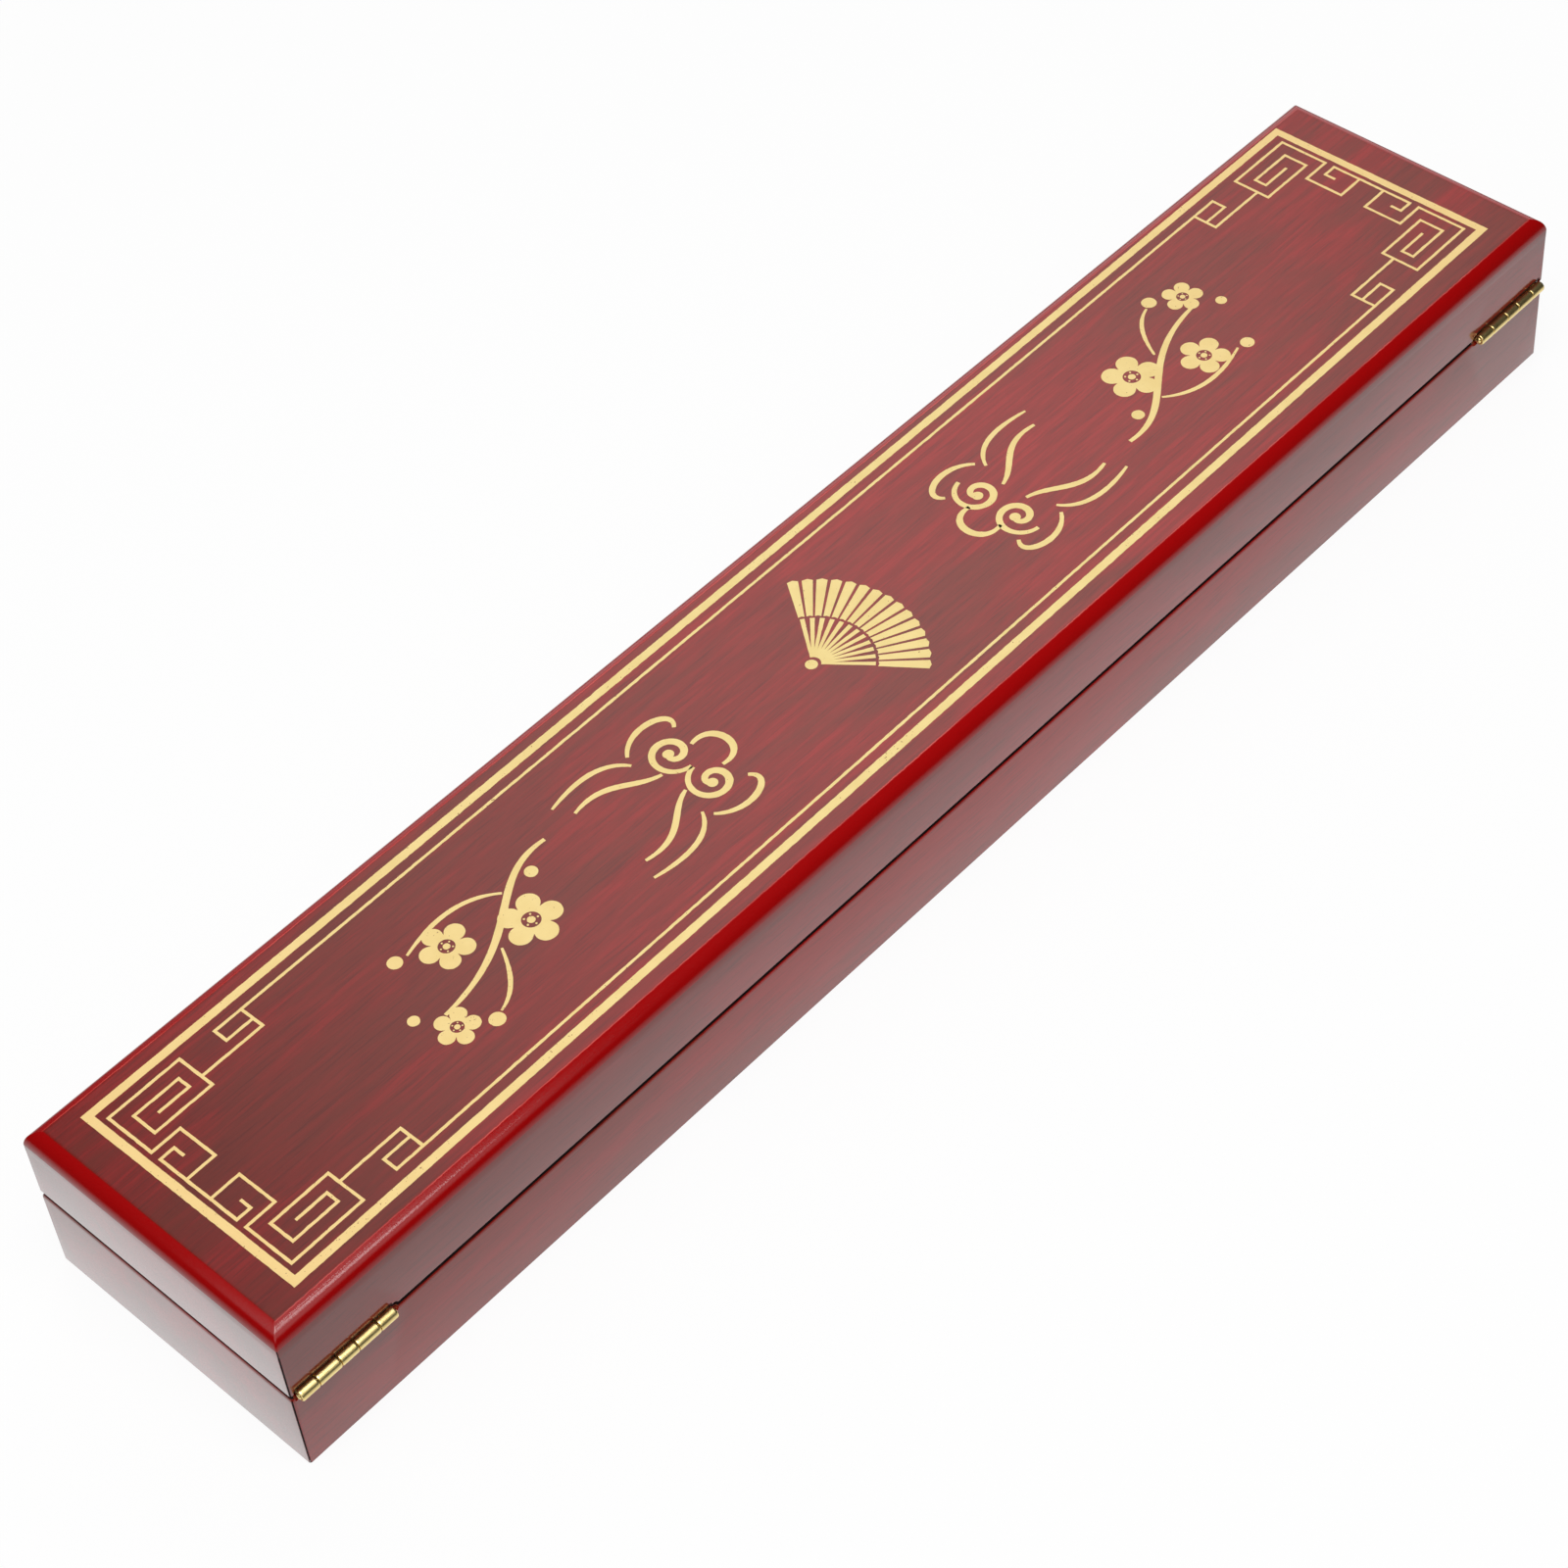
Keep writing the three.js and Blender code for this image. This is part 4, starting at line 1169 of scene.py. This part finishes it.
@dataclass
class Border(Ornament):
    """The double frame: a broad outer band, and a thin inner line that turns into a fret at each corner."""

    band: float = 1.75
    line: float = 0.62
    half: Pair = (169.98, 27.45)

    def fret(self) -> list[Points]:
        """The lines of one corner, for the end and side with positive X and Y."""
        key = [(166.95, 3.1), (160.35, 3.1), (160.35, 12.1), (166.95, 12.1), (166.95, 23.5), (150.5, 23.5)]
        spiral = [(150.5, 14.8), (163.8, 14.8), (163.8, 20.4), (153.4, 20.4), (153.4, 17.6), (160.3, 17.6)]
        step = [(150.5, 17.6), (136.1, 17.6), (136.1, 23.3)]
        hook = [(0.0, 23.3), (142.4, 23.3), (142.4, 20.1), (136.1, 20.1)]
        return [np.array(key + spiral), np.array(step), np.array(hook)]

    def build(self) -> None:
        """Lays the band, then the four corners mirrored from one, and the bar at each end."""
        x, y = self.half[0] - self.band / 2, self.half[1] - self.band / 2
        self.strip(np.array([(x, y), (-x, y), (-x, -y), (x, -y)]), self.band, closed=True)
        hook = [(163.8, 7.5), (163.8, 9.8), (166.95, 9.8)]
        bar = np.array(hook + [(along, -across) for along, across in hook[::-1]])
        for sx in (1, -1):
            for sy in (1, -1):
                for path in self.fret():
                    self.strip(path * [sx, sy], self.line)
            self.strip(bar * [sx, 1], self.line)
        self.done()


@dataclass
class Motifs(Ornament):
    """Generic gold motifs down the middle: an open fan, cloud scrolls and plum blossom.

    A scroll has a size, a number of turns and a width.
    """

    scroll: tuple[float, float, float] = (5.0, 1.35, 1.5)

    def spiral(self, centre: Sequence[float], start: float, hand: int) -> None:
        """A scroll whose radius shrinks evenly with its angle, from a tapered tail to a round eye."""
        size, turns, width = self.scroll
        t = np.linspace(0, 1, 90)
        angle = math.radians(start) + hand * 2 * np.pi * turns * t
        radius = size * (1 - 0.86 * t)
        path = np.array(centre) + radius[:, None] * np.stack([np.cos(angle), np.sin(angle)], axis=1)
        self.stroke(path, width * (0.35 + 0.65 * np.sin(np.pi * np.clip(0.12 + 0.75 * t, 0, 1))))
        self.dot(path[-1], width * 0.75)

    def curve(self, points: Sequence[Sequence[float]], width: float, x: float, flip: tuple[int, int]) -> None:
        """A tapered stroke along a Bezier curve of four points, which are mirrored and moved along X."""
        p = np.array(points, float) * flip + [x, 0]
        t = np.linspace(0, 1, 60)[:, None]
        path = (1 - t) ** 3 * p[0] + 3 * (1 - t) ** 2 * t * p[1] + 3 * (1 - t) * t**2 * p[2] + t**3 * p[3]
        self.stroke(path, width * (0.25 + 0.75 * np.sin(np.pi * (0.1 + 0.82 * t[:, 0])) ** 0.8))

    def blossom(self, centre: Points, size: float, turn: float) -> None:
        """Five round petals about a small eye: the radius dips five times round."""
        angle = np.linspace(0, 2 * np.pi, 120, endpoint=False)
        petals = size * (0.42 + 0.58 * np.abs(np.cos(2.5 * (angle - turn))) ** 0.45)
        self.ring(centre, petals, np.full(120, size * 0.3))
        self.dot(centre, size * 0.13)
        for a in turn + np.arange(5) * 2 * np.pi / 5:
            self.dot(centre + size * 0.215 * np.array([math.cos(a), math.sin(a)]), size * 0.035)

    def fan(self, pivot: Points, reach: float, spread: float, turn: float) -> None:
        """An open folding fan: folded leaf segments between two arcs, ribs and a pivot."""
        folds, gap = 15, 0.016
        edges = np.radians(np.linspace(-spread / 2, spread / 2, folds + 1) + turn)
        dip = 0.35 * np.abs(np.linspace(-1, 1, 9))[:, None]
        for start, end in zip(edges[:-1], edges[1:]):
            a = np.linspace(start + gap, end - gap, 9)
            ray = np.stack([np.cos(a), np.sin(a)], axis=1)
            self.put(pivot + ray * (reach - dip), pivot + ray * (reach * 0.56 - dip * 0.5))
        for a in np.radians(np.linspace(-spread / 2 + 4, spread / 2 - 4, 12) + turn):
            ray = np.array([math.cos(a), math.sin(a)])
            rib = np.linspace(reach * 0.07, reach * 0.53, 24)[:, None] * ray + pivot
            self.stroke(rib, np.linspace(0.55, 0.95, 24))
        a = math.radians(turn)
        self.dot(pivot - 0.02 * reach * np.array([math.cos(a), math.sin(a)]), 1.25)

    def cloud(self, x: float, facing: int) -> None:
        """A cloud scroll symmetric about the middle: two eyes, a crest of lobes and trailing bands."""
        for side in (1, -1):
            self.spiral((x, side * 5.2), 90 * side + 90 * (1 - facing), -side * facing)
            self.curve([(5, 9.4), (9, 13), (-1, 17), (-6, 11)], 1.35, x, (facing, side))
            self.curve([(-5, 3), (-11, 4.5), (-13, 11), (-22, 9)], 1.3, x, (facing, side))
            self.curve([(-7, 9), (-10, 14.5), (-17, 14.5), (-24, 13)], 1.1, x, (facing, side))
        self.curve([(4, -4), (11, -5.5), (11, 5.5), (4, 4)], 1.5, x, (facing, 1))

    def branch(self, x: float, facing: int) -> None:
        """A spray of plum blossom: a bent branch with twigs, flowers and buds."""
        self.curve([(-20, -9), (-6, -11), (-2, 5), (20, 6)], 1.5, x, (facing, facing))
        self.curve([(-6, -6), (0, -12), (8, -11), (15, -9)], 1.0, x, (facing, facing))
        self.curve([(3, 3), (6, 9), (9, 12), (13, 13)], 0.9, x, (facing, facing))
        for px, py, size, turn in ((-5, 2.5, 6.2, 0.3), (9, -5, 5.4, 1.0), (20.5, 9.5, 4.4, 0.1)):
            self.blossom(np.array([px, py]) * facing + [x, 0], size, turn)
        for px, py, size in ((17.5, -9.5, 1.5), (14.8, 13.8, 1.6), (-13, -5.5, 1.35), (24.5, 2.6, 1.2)):
            self.dot(np.array([px, py]) * facing + [x, 0], size)

    def build(self) -> None:
        """Lays the fan in the middle, with clouds and blossom mirrored to both ends."""
        self.fan(np.array([10.5, 0.0]), 22.5, 112, 180)
        for facing in (1, -1):
            self.cloud(44.0 * facing, -facing)
            self.branch(94.0 * facing, facing)
        self.done()


@dataclass
class HaspClasp(Part):
    """The brass clasp at the front: a plate and a tongue on the lid, and a keeper on the base."""

    sheet: float = 0.8
    clear: float = 0.3
    corner: float = 2.4
    ease: float = 0.12
    plate: Pair = (20.0, 9.2)
    keeper: Pair = (16.0, 9.6)
    keeper_under_seam: float = 1.9
    above: float = 4.2
    barrel: float = 1.1
    pin: float = 0.45
    pin_room: float = 0.1
    knuckle: float = 3.6
    knuckle_gap: float = 0.15
    tongue: float = 10.0
    drop: float = 12.6
    lip: float = 0.8
    nose: tuple[float, float, float] = (4.2, 2.4, 2.2)
    nose_drop: float = 9.4
    window_room: float = 0.6
    pin_past: float = 0.2
    open_degrees: float = 12.0
    nails: float = 6.5

    @property
    def front(self) -> float:
        """Y of the box's front."""
        return -self.sizes.back

    @property
    def axis(self) -> tuple[float, float]:
        """Y and Z of the clasp's pin."""
        return self.front - 1.5 * self.sheet - self.clear, self.sizes.seam + self.above

    def slab(self, name: str, size: tuple[float, float], z: float) -> Object:
        """Makes a plate on the front: an outline lofted along Y, and drawn in at its face."""
        outline = rounded_rectangle(*size, self.corner)
        middle = outline.mean(axis=0)
        reach = np.linalg.norm(outline - middle, axis=1, keepdims=True)
        face = self.front - self.sheet
        rings = [laid(outline + [0, z], Y, self.front)]
        for off, drawn in ((self.ease, 0.0), (self.ease * 0.3, self.ease * 0.3), (0.0, self.ease)):
            rings.append(laid(middle + (outline - middle) * (1 - drawn / reach) + [0, z], Y, face + off))
        return lofted(name, rings, 50)

    def bar(self, radius: float, start: float, end: float, y: float, z: float, ease: float = 0.1) -> Object:
        """Makes a round bar along X with eased ends."""
        profile = [(0, start), (radius - ease, start), (radius, start + ease)]
        profile += [(radius, end - ease), (radius - ease, end), (0, end)]
        return revolved("bar", profile, 40, ALONG_X, (0, y, z))

    def bore(self, y: float, z: float) -> Object:
        """Makes the pin's bore, for cutting."""
        return self.bar(self.pin + self.pin_room, -0.6 * self.tongue, 0.6 * self.tongue, y, z)

    def nail(self, name: str, x: float, z: float, body: str) -> None:
        """Makes a round-headed nail through a plate on the front."""
        profile = [(0, -4.8), (0.45, -4.6), (0.45, 0), *dome(1.1, 0.55, [0, 15, 30, 45, 60, 75])]
        head = revolved(f"{name}_head", profile, 36, OUT_OF_FRONT, (x, self.front - self.sheet, z))
        self.brass(head, body, name)

    def build(self) -> None:
        """Makes the plate, its pin, the keeper, the tongue and four nails."""
        y, z = self.axis
        neck = self.tongue / 2 - self.knuckle
        plate_z, keeper_z = z + self.plate[1] / 2 - self.barrel, z - self.nose_drop
        near, room = neck + self.knuckle_gap, self.barrel + self.clear
        notch = block((2 * near, 2 * room), (0, z), (y - room, y + room), 0.1, 3)
        plate = combined(self.slab("clasp_plate_sheet", self.plate, plate_z), [notch], "DIFFERENCE")
        ends = ((near, near + self.knuckle), (-near - self.knuckle, -near))
        combined(plate, [self.bar(self.barrel, start, end, y, z) for start, end in ends], "UNION")
        combined(plate, [self.bore(y, z)], "DIFFERENCE")
        self.brass(plate, "lid", "clasp_plate")
        reach = self.tongue / 2 + self.pin_past
        rod = pin("clasp_pin_rod", self.pin, reach, [0, 25, 50, 75], 32, (0, y, z))
        self.brass(rod, "lid", "clasp_pin")
        self.make_keeper(self.front - self.sheet, keeper_z)
        self.make_tongue(y, z, neck)
        for i, x in enumerate((-self.nails, self.nails), 1):
            self.nail(f"clasp_plate_nail_{i}", x, plate_z + self.barrel, "lid")
            self.nail(f"clasp_keeper_nail_{i}", x, keeper_z, "base")

    def make_keeper(self, face: float, nose_z: float) -> None:
        """Makes the keeper: its plate, and a nose that is rounded above and square below."""
        wide, high, reach = self.nose
        z = self.sizes.seam - self.keeper_under_seam - self.keeper[1] / 2
        plate = self.slab("clasp_keeper_sheet", self.keeper, z)
        t = np.linspace(0, 1, 12)
        slope = np.stack([face - reach * (1 - (1 - t) ** 2), nose_z + high / 2 - high * t**2], axis=1)
        root = face + self.sheet / 2
        section = np.concatenate([[[root, nose_z - high / 2], [root, nose_z + high / 2]], slope])
        middle = section.mean(axis=0)
        side, ease, shrink = wide / 2, self.ease, 0.93
        ends = ((-side, shrink), (-side + ease, 1), (side - ease, 1), (side, shrink))
        nose = lofted("nose", [laid(middle + (section - middle) * share, X, x) for x, share in ends])
        self.brass(combined(plate, [nose], "UNION"), "base", "clasp_keeper")

    def make_tongue(self, y: float, z: float, neck: float) -> None:
        """Makes the tongue: drawn hanging from its pin, then swung out to where it rests."""
        side, half = self.tongue / 2, self.sheet / 2
        shoulder, low = -self.barrel - self.clear, self.corner - self.drop
        outline = np.concatenate([
            [[side, shoulder], [neck, shoulder], [neck, 0], [-neck, 0], [-neck, shoulder], [-side, shoulder]],
            arc((-side + self.corner, low), self.corner, 180, 270, 9),
            arc((side - self.corner, low), self.corner, 270, 360, 9),
        ])
        obj = lofted("clasp_tongue_sheet", [laid(outline, Y, level) for level in (-half, half)], 50)
        lip = self.bar(self.lip, -side / 2, side / 2, half - self.lip, -self.drop, 0.2)
        combined(obj, [self.bar(self.barrel, -neck, neck, 0, 0), lip], "UNION")
        size = (self.nose[0] + 2 * self.window_room, self.nose[1] + 2 * self.window_room)
        window = block(size, (0, -self.nose_drop), (-2 * self.sheet, 2 * self.sheet), 0.1, 3)
        combined(obj, [window, self.bore(0, 0)], "DIFFERENCE")
        turn = Matrix.Rotation(math.radians(-self.open_degrees), 4, "X")
        obj.data.transform(Matrix.Translation((0, y * MM, z * MM)) @ turn)
        self.brass(obj, "clasp", "clasp_tongue", bevel=0.1)


@dataclass(frozen=True)
class Filling:
    """How satin is filled out over its foam by a short cloth simulation. Lengths are in millimetres."""

    voxel: float = 1.8
    pressure: float = 4.0
    frames: int = 20
    slack: float = 0.03
    reach: float = 0.9

    def fill(self, obj: Object, held: Points) -> None:
        """Lets the cover swell under pressure, and keeps each point within reach of where it was.

        Args:
            obj: The cover, already remeshed.
            held: How firmly each vertex stays, from 0 to 1.
        """
        start = coordinates(obj)
        group = obj.vertex_groups.new(name="held")
        held = np.round(held, 1)
        for level in np.unique(held):
            group.add(np.flatnonzero(held == level).tolist(), float(level), "REPLACE")
        cloth = obj.modifiers.new("filling", "CLOTH")
        settings = cloth.settings
        settings.quality, settings.mass, settings.vertex_group_mass = 6, 0.1, group.name
        settings.tension_stiffness = settings.compression_stiffness = 12
        settings.bending_stiffness, settings.shrink_min = 0.4, -self.slack
        settings.use_pressure, settings.uniform_pressure_force = True, self.pressure
        settings.effector_weights.gravity = 0
        cloth.collision_settings.use_collision = False
        cloth.point_cache.frame_start, cloth.point_cache.frame_end = 1, self.frames
        scene = bpy.context.scene
        for number in range(1, self.frames + 1):
            scene.frame_set(number)
        graph = bpy.context.evaluated_depsgraph_get()
        moved = coordinates(obj.evaluated_get(graph)) - start
        obj.modifiers.remove(cloth)
        scene.frame_set(1)
        far = np.linalg.norm(moved, axis=1, keepdims=True)
        set_coordinates(obj, start + moved * np.minimum(1, self.reach / np.maximum(far, 1e-6)))
        LOG.info("%s: filled, moved %.2f mm at most", obj.name, min(float(far.max()), self.reach))


@dataclass
class Lining(Part):
    """The satin cradle with the fan's recess, and the satin pad under the lid."""

    filling: Filling = Filling()
    clear: float = 0.3
    below_rim: float = 2.0
    floor: float = 4.0
    end: float = 5.0
    side: float = 5.0
    head: float = 36.0
    pivot: float = 28.0
    pad: float = 6.0
    shoulder: float = 2.8
    give: float = 0.6
    slope: float = 2.6
    pucker: float = 0.22
    pucker_lengths: Pair = (4.1, 2.7)
    rim_pucker: Pair = (2.2, 1.6)
    edge_pucker: Pair = (-1.2, 2.0)

    @property
    def half(self) -> Points:
        """Half the length and width of the room between the walls."""
        s = self.sizes
        return np.array([s.length / 2 - s.wall - self.clear, s.width / 2 - s.wall - self.clear])

    def outline(self, points: Points) -> tuple[Points, Points]:
        """Where each point lies by the recess: how far inside its edge, and how far along the edge.

        The fan's outline is a cone between two circles: the distance to the axis segment, less a
        radius that grows evenly from the pivot's to the head's. The finger scoop is a circle. The
        way along the edge is X beside the straight sides, and the angle times the radius round the
        two ends.
        """
        long, scoop = self.half - [self.end, self.side]
        a, b = self.pivot / 2 - long, long - self.head / 2
        t = np.clip((points[:, 0] - a) / (b - a), 0, 1)
        radius = self.pivot / 2 + t * (self.head - self.pivot) / 2
        beyond = points[:, 0] - (a + t * (b - a))
        inside = radius - np.hypot(beyond, points[:, 1])
        angle = np.arctan2(beyond, np.abs(points[:, 1]) + 1e-9)
        along = (a + t * (b - a)) + radius * angle + np.sign(points[:, 1]) * 1.3
        return np.maximum(inside, scoop - np.hypot(points[:, 0], points[:, 1])), along

    def gathers(self, along: Points, inside: Points, line: float, reach: float) -> Points:
        """Small puckers across an edge: two waves along it, which die off from a line inside the edge."""
        long, short = self.pucker_lengths
        wave = np.sin(2 * np.pi * along / long + 1.9 * np.sin(along / 6.7))
        wave = wave + 0.6 * np.sin(2 * np.pi * along / short + 1.1)
        return self.pucker * wave * np.exp(-(((inside - line) / reach) ** 2))

    def blank(self, name: str, low: float, high: float, dented: bool, up: int) -> Object:
        """Makes a cushion's plain form: a height field over a rectangle, closed below and remeshed.

        The height falls off at the rim by the curve of a quarter circle, and in the recess by a
        smooth step. It starts lower than the finished cushion by the give that the filling takes up.
        """
        half = self.half - 0.1
        xs, ys = (np.linspace(-reach, reach, count) for reach, count in zip(half, (280, 64)))
        x, y = np.meshgrid(xs, ys, indexing="ij")
        flat = np.stack([x.ravel(), y.ravel()], axis=1)
        rim, bend = np.min(half - np.abs(flat), axis=1), self.shoulder
        drop = bend - np.sqrt(np.clip(bend**2 - (bend - np.clip(rim, 0, bend)) ** 2, 0, None))
        top = (high - low - self.give) - drop * 0.8
        if dented:
            t = np.clip(self.outline(flat)[0] / self.slope + 0.5, 0, 1)
            top = top - (high - low - self.floor) * (t * t * (3 - 2 * t))
        top = top.reshape(x.shape)
        soft, hard = (low + top, low + 0 * x) if up > 0 else (high - top, high + 0 * x)
        piece = Piece(name)
        first, second = (piece.grid(np.stack([x, y, z], axis=-1)) for z in (soft, hard))
        for edge in ((0,), (-1,), (slice(None), 0), (slice(None), -1)):
            piece.band(first[edge], second[edge])
        obj = piece.made(60)
        remesh = obj.modifiers.new("even_mesh", "REMESH")
        remesh.mode, remesh.voxel_size = "VOXEL", self.filling.voxel * MM
        return combined(obj, [], "UNION")

    def cushion(self, name: str, low: float, high: float, dented: bool, up: int) -> Object:
        """Makes a padded block: its plain form, filled out and puckered along its edges.

        Args:
            name: The object's name.
            low: Z of its lower side.
            high: Z of its upper side.
            dented: Whether it has the fan's recess.
            up: 1 if the soft side is the upper one, -1 if the lower one.

        Returns:
            The new object.
        """
        obj = self.blank(name, low, high, dented, up)
        base = low if up > 0 else high
        height = (coordinates(obj)[:, 2] - base) * up
        self.filling.fill(obj, 1 - np.clip((height - 2.0) / 2.0, 0, 1))
        points = coordinates(obj)
        height = (points[:, 2] - base) * up
        rim = self.half - 0.1 - np.abs(points[:, :2])
        along = np.where(rim[:, 0] < rim[:, 1], points[:, 1], points[:, 0])
        swell = self.gathers(along, np.min(rim, axis=1), *self.rim_pucker)
        if dented:
            inside, along = self.outline(points[:, :2])
            swell = swell + self.gathers(along, inside, *self.edge_pucker)
        points[:, 2] += up * swell * np.clip((height - 1.5) / 2.0, 0, 1)
        set_coordinates(obj, points)
        smooth = obj.modifiers.new("smooth", "SUBSURF")
        smooth.levels = smooth.render_levels = 1
        obj.data.shade_smooth()
        return obj

    def build(self) -> None:
        """Makes the cradle and the pad."""
        s = self.sizes
        low, high = s.bottom + self.clear, s.panel_under - self.clear
        cradle = self.cushion("satin_cradle", low, s.rim(Half.BASE) - self.below_rim, True, 1)
        finished(cradle, self.finishes.satin, "base", ["fan_cradle"])
        pad = self.cushion("satin_lid_pad", high - self.pad, high, False, -1)
        finished(pad, self.finishes.satin, "lid", ["lid_pad"])


@dataclass
class Studio:
    """A white table in a dim room with soft lamps, and a camera that looks down on the hinged side."""

    place: Colour = (0.34733, 0.34900, 0.54874)
    forward: Colour = (-0.46520, -0.49701, -0.73251)
    right: Colour = (-0.67526, 0.73431, -0.06940)
    lens: float = 85.475
    shift: float = -0.05
    sweep: Colour = (-0.489, -0.463, 0.739)
    sweep_edge: float = 0.953
    sweep_light: float = 1.2
    side: tuple[Pair, ...] = ((-0.32, -0.285), (-0.52, -0.44), (0.30, 0.60))
    side_light: float = 0.8
    wall: tuple[Pair, ...] = ((-0.20, -0.45), (-0.30, -0.40), (0.66, 0.55))
    wall_light: float = 0.95
    room_light: float = 0.015
    falloff: float = 0.10
    table: float = 6.0

    def linked(self, name: str, data: bpy.types.ID) -> Object:
        """Makes an object of some data and puts it in the scene."""
        obj = bpy.data.objects.new(name, data)
        bpy.context.scene.collection.objects.link(obj)
        return obj

    def camera(self) -> None:
        """Makes the camera from its place and two directions."""
        data = bpy.data.cameras.new("camera")
        data.lens, data.sensor_width, data.clip_start, data.clip_end = self.lens, 36, 0.01, 50
        data.shift_y = self.shift
        obj = self.linked("camera", data)
        forward, right = Vector(self.forward).normalized(), Vector(self.right)
        right = (right - right.dot(forward) * forward).normalized()
        turn = Matrix((right, right.cross(forward), -forward)).transposed().to_4x4()
        obj.matrix_world = Matrix.Translation(self.place) @ turn
        bpy.context.scene.camera = obj

    def lamp(self, name: str, place: Colour, size: tuple[float, float], power: float) -> None:
        """Makes a soft lamp of a width and a height in metres, turned to the box."""
        data = bpy.data.lights.new(name, "AREA")
        data.shape, data.size, data.size_y, data.energy = "RECTANGLE", *size, power
        obj = self.linked(name, data)
        obj.location, obj.rotation_mode = place, "QUATERNION"
        obj.rotation_quaternion = (-Vector(place)).to_track_quat("-Z", "Y")

    def floor(self) -> None:
        """Makes the floor: a pale sheet that shows white to the camera and in reflections.

        A reflection of it dims with the distance away from the box, by one over one plus the
        distance's share of the falloff to the power of 1.5.
        """
        mesh = bpy.data.meshes.new("floor")
        far = self.table
        mesh.from_pydata([(-far, -far, 0), (far, -far, 0), (far, far, 0), (-far, far, 0)], [], [(0, 1, 2, 3)])
        obj = self.linked("floor", mesh)
        r = Recipe("white_table")
        r.shade(Roughness=0.9, Specular_IOR_Level=0.0)
        x, y, _ = r.parts(r.place())
        beside = r.sum("SUBTRACT", r.sum("ABSOLUTE", x), HALF_LENGTH)
        behind = r.sum("SUBTRACT", r.sum("ABSOLUTE", y), HALF_WIDTH)
        away = r.sum("DIVIDE", r.highest(beside, behind, 0.0), self.falloff)
        near = r.sum("DIVIDE", 1.0, r.sum("ADD", r.sum("POWER", away, 1.5), 1.0))
        shown, mirrored = r.rays()
        r.shade(Base_Color=r.blend(shown, (0.5, 0.5, 0.5), (0.95, 0.95, 0.95)))
        glow = r.add("ShaderNodeEmission", {"Color": r.blend(mirrored, WHITE, near), "Strength": 1.0})
        mix = {0: r.highest(r.product(shown, 0.9), mirrored), 1: r.shader.outputs[0], 2: glow.outputs[0]}
        r.set(r.output, "Surface", r.add("ShaderNodeMixShader", mix).outputs[0])
        mesh.materials.append(r.material)

    def world(self) -> None:
        """Makes the world: white to the camera, and to the box a dim room with three white areas.

        One is a round sweep, brightest at its middle: its light falls evenly with the cosine. One
        is the white wall below it, and one fills the sky over the box's near end. Both lie behind
        soft limits in X, Y and Z.
        """
        world = bpy.data.worlds.new("studio")
        bpy.context.scene.world = world
        r = Nodes(world)
        toward = r.add("ShaderNodeTexCoord").outputs["Generated"]
        pair = {0: toward, 1: tuple(Vector(self.sweep).normalized())}
        cosine = r.add("ShaderNodeVectorMath", pair, operation="DOT_PRODUCT").outputs["Value"]
        ramp = {"Value": cosine, "From Min": self.sweep_edge, "From Max": 1.0, "To Max": self.sweep_light}
        lights = [r.add("ShaderNodeMapRange", ramp).outputs[0]]
        for limits, light in ((self.wall, self.wall_light), (self.side, self.side_light)):
            area = r.product(*(r.steps(v, *limit) for v, limit in zip(r.parts(toward), limits)))
            lights.append(r.product(area, light))
        strength = r.sum("ADD", r.highest(*lights), self.room_light)
        room = r.add("ShaderNodeBackground", {"Color": WHITE, "Strength": strength})
        shown = r.add("ShaderNodeBackground", {"Color": WHITE, "Strength": 1.0})
        mix = r.add("ShaderNodeMixShader", {0: r.rays()[0], 1: room.outputs[0], 2: shown.outputs[0]})
        r.add("ShaderNodeOutputWorld", {"Surface": mix.outputs[0]})

    def build(self) -> None:
        """Sets the view transform and makes the camera, the room, the floor and the lamps."""
        bpy.context.scene.view_settings.view_transform = "Standard"
        self.camera()
        self.world()
        self.floor()
        self.lamp("overhead", (0.30, 0.25, 1.50), (0.8, 0.8), 12.3)
        self.lamp("corner_softbox", (-0.18, 0.72, 1.31), (0.12, 0.5), 0.8)


def main() -> None:
    """Builds the stage, then the box from its base up."""
    logging.basicConfig(level=logging.INFO, format="%(name)s %(message)s")
    Studio().build()
    shared = Sizes(), Finishes.made()
    hinges = [ButtHinge(*shared, "hinge_left", Side.LEFT), ButtHinge(*shared, "hinge_right", Side.RIGHT)]
    for half in Half:
        Shell(*shared, half).build(hinges)
    parts = [TopPanel(*shared), BottomBoard(*shared), *hinges, HaspClasp(*shared)]
    parts += [Border(*shared, "gold_border"), Motifs(*shared, "gold_motifs"), Lining(*shared)]
    for part in parts:
        part.build()


if __name__ == "__main__":
    main()
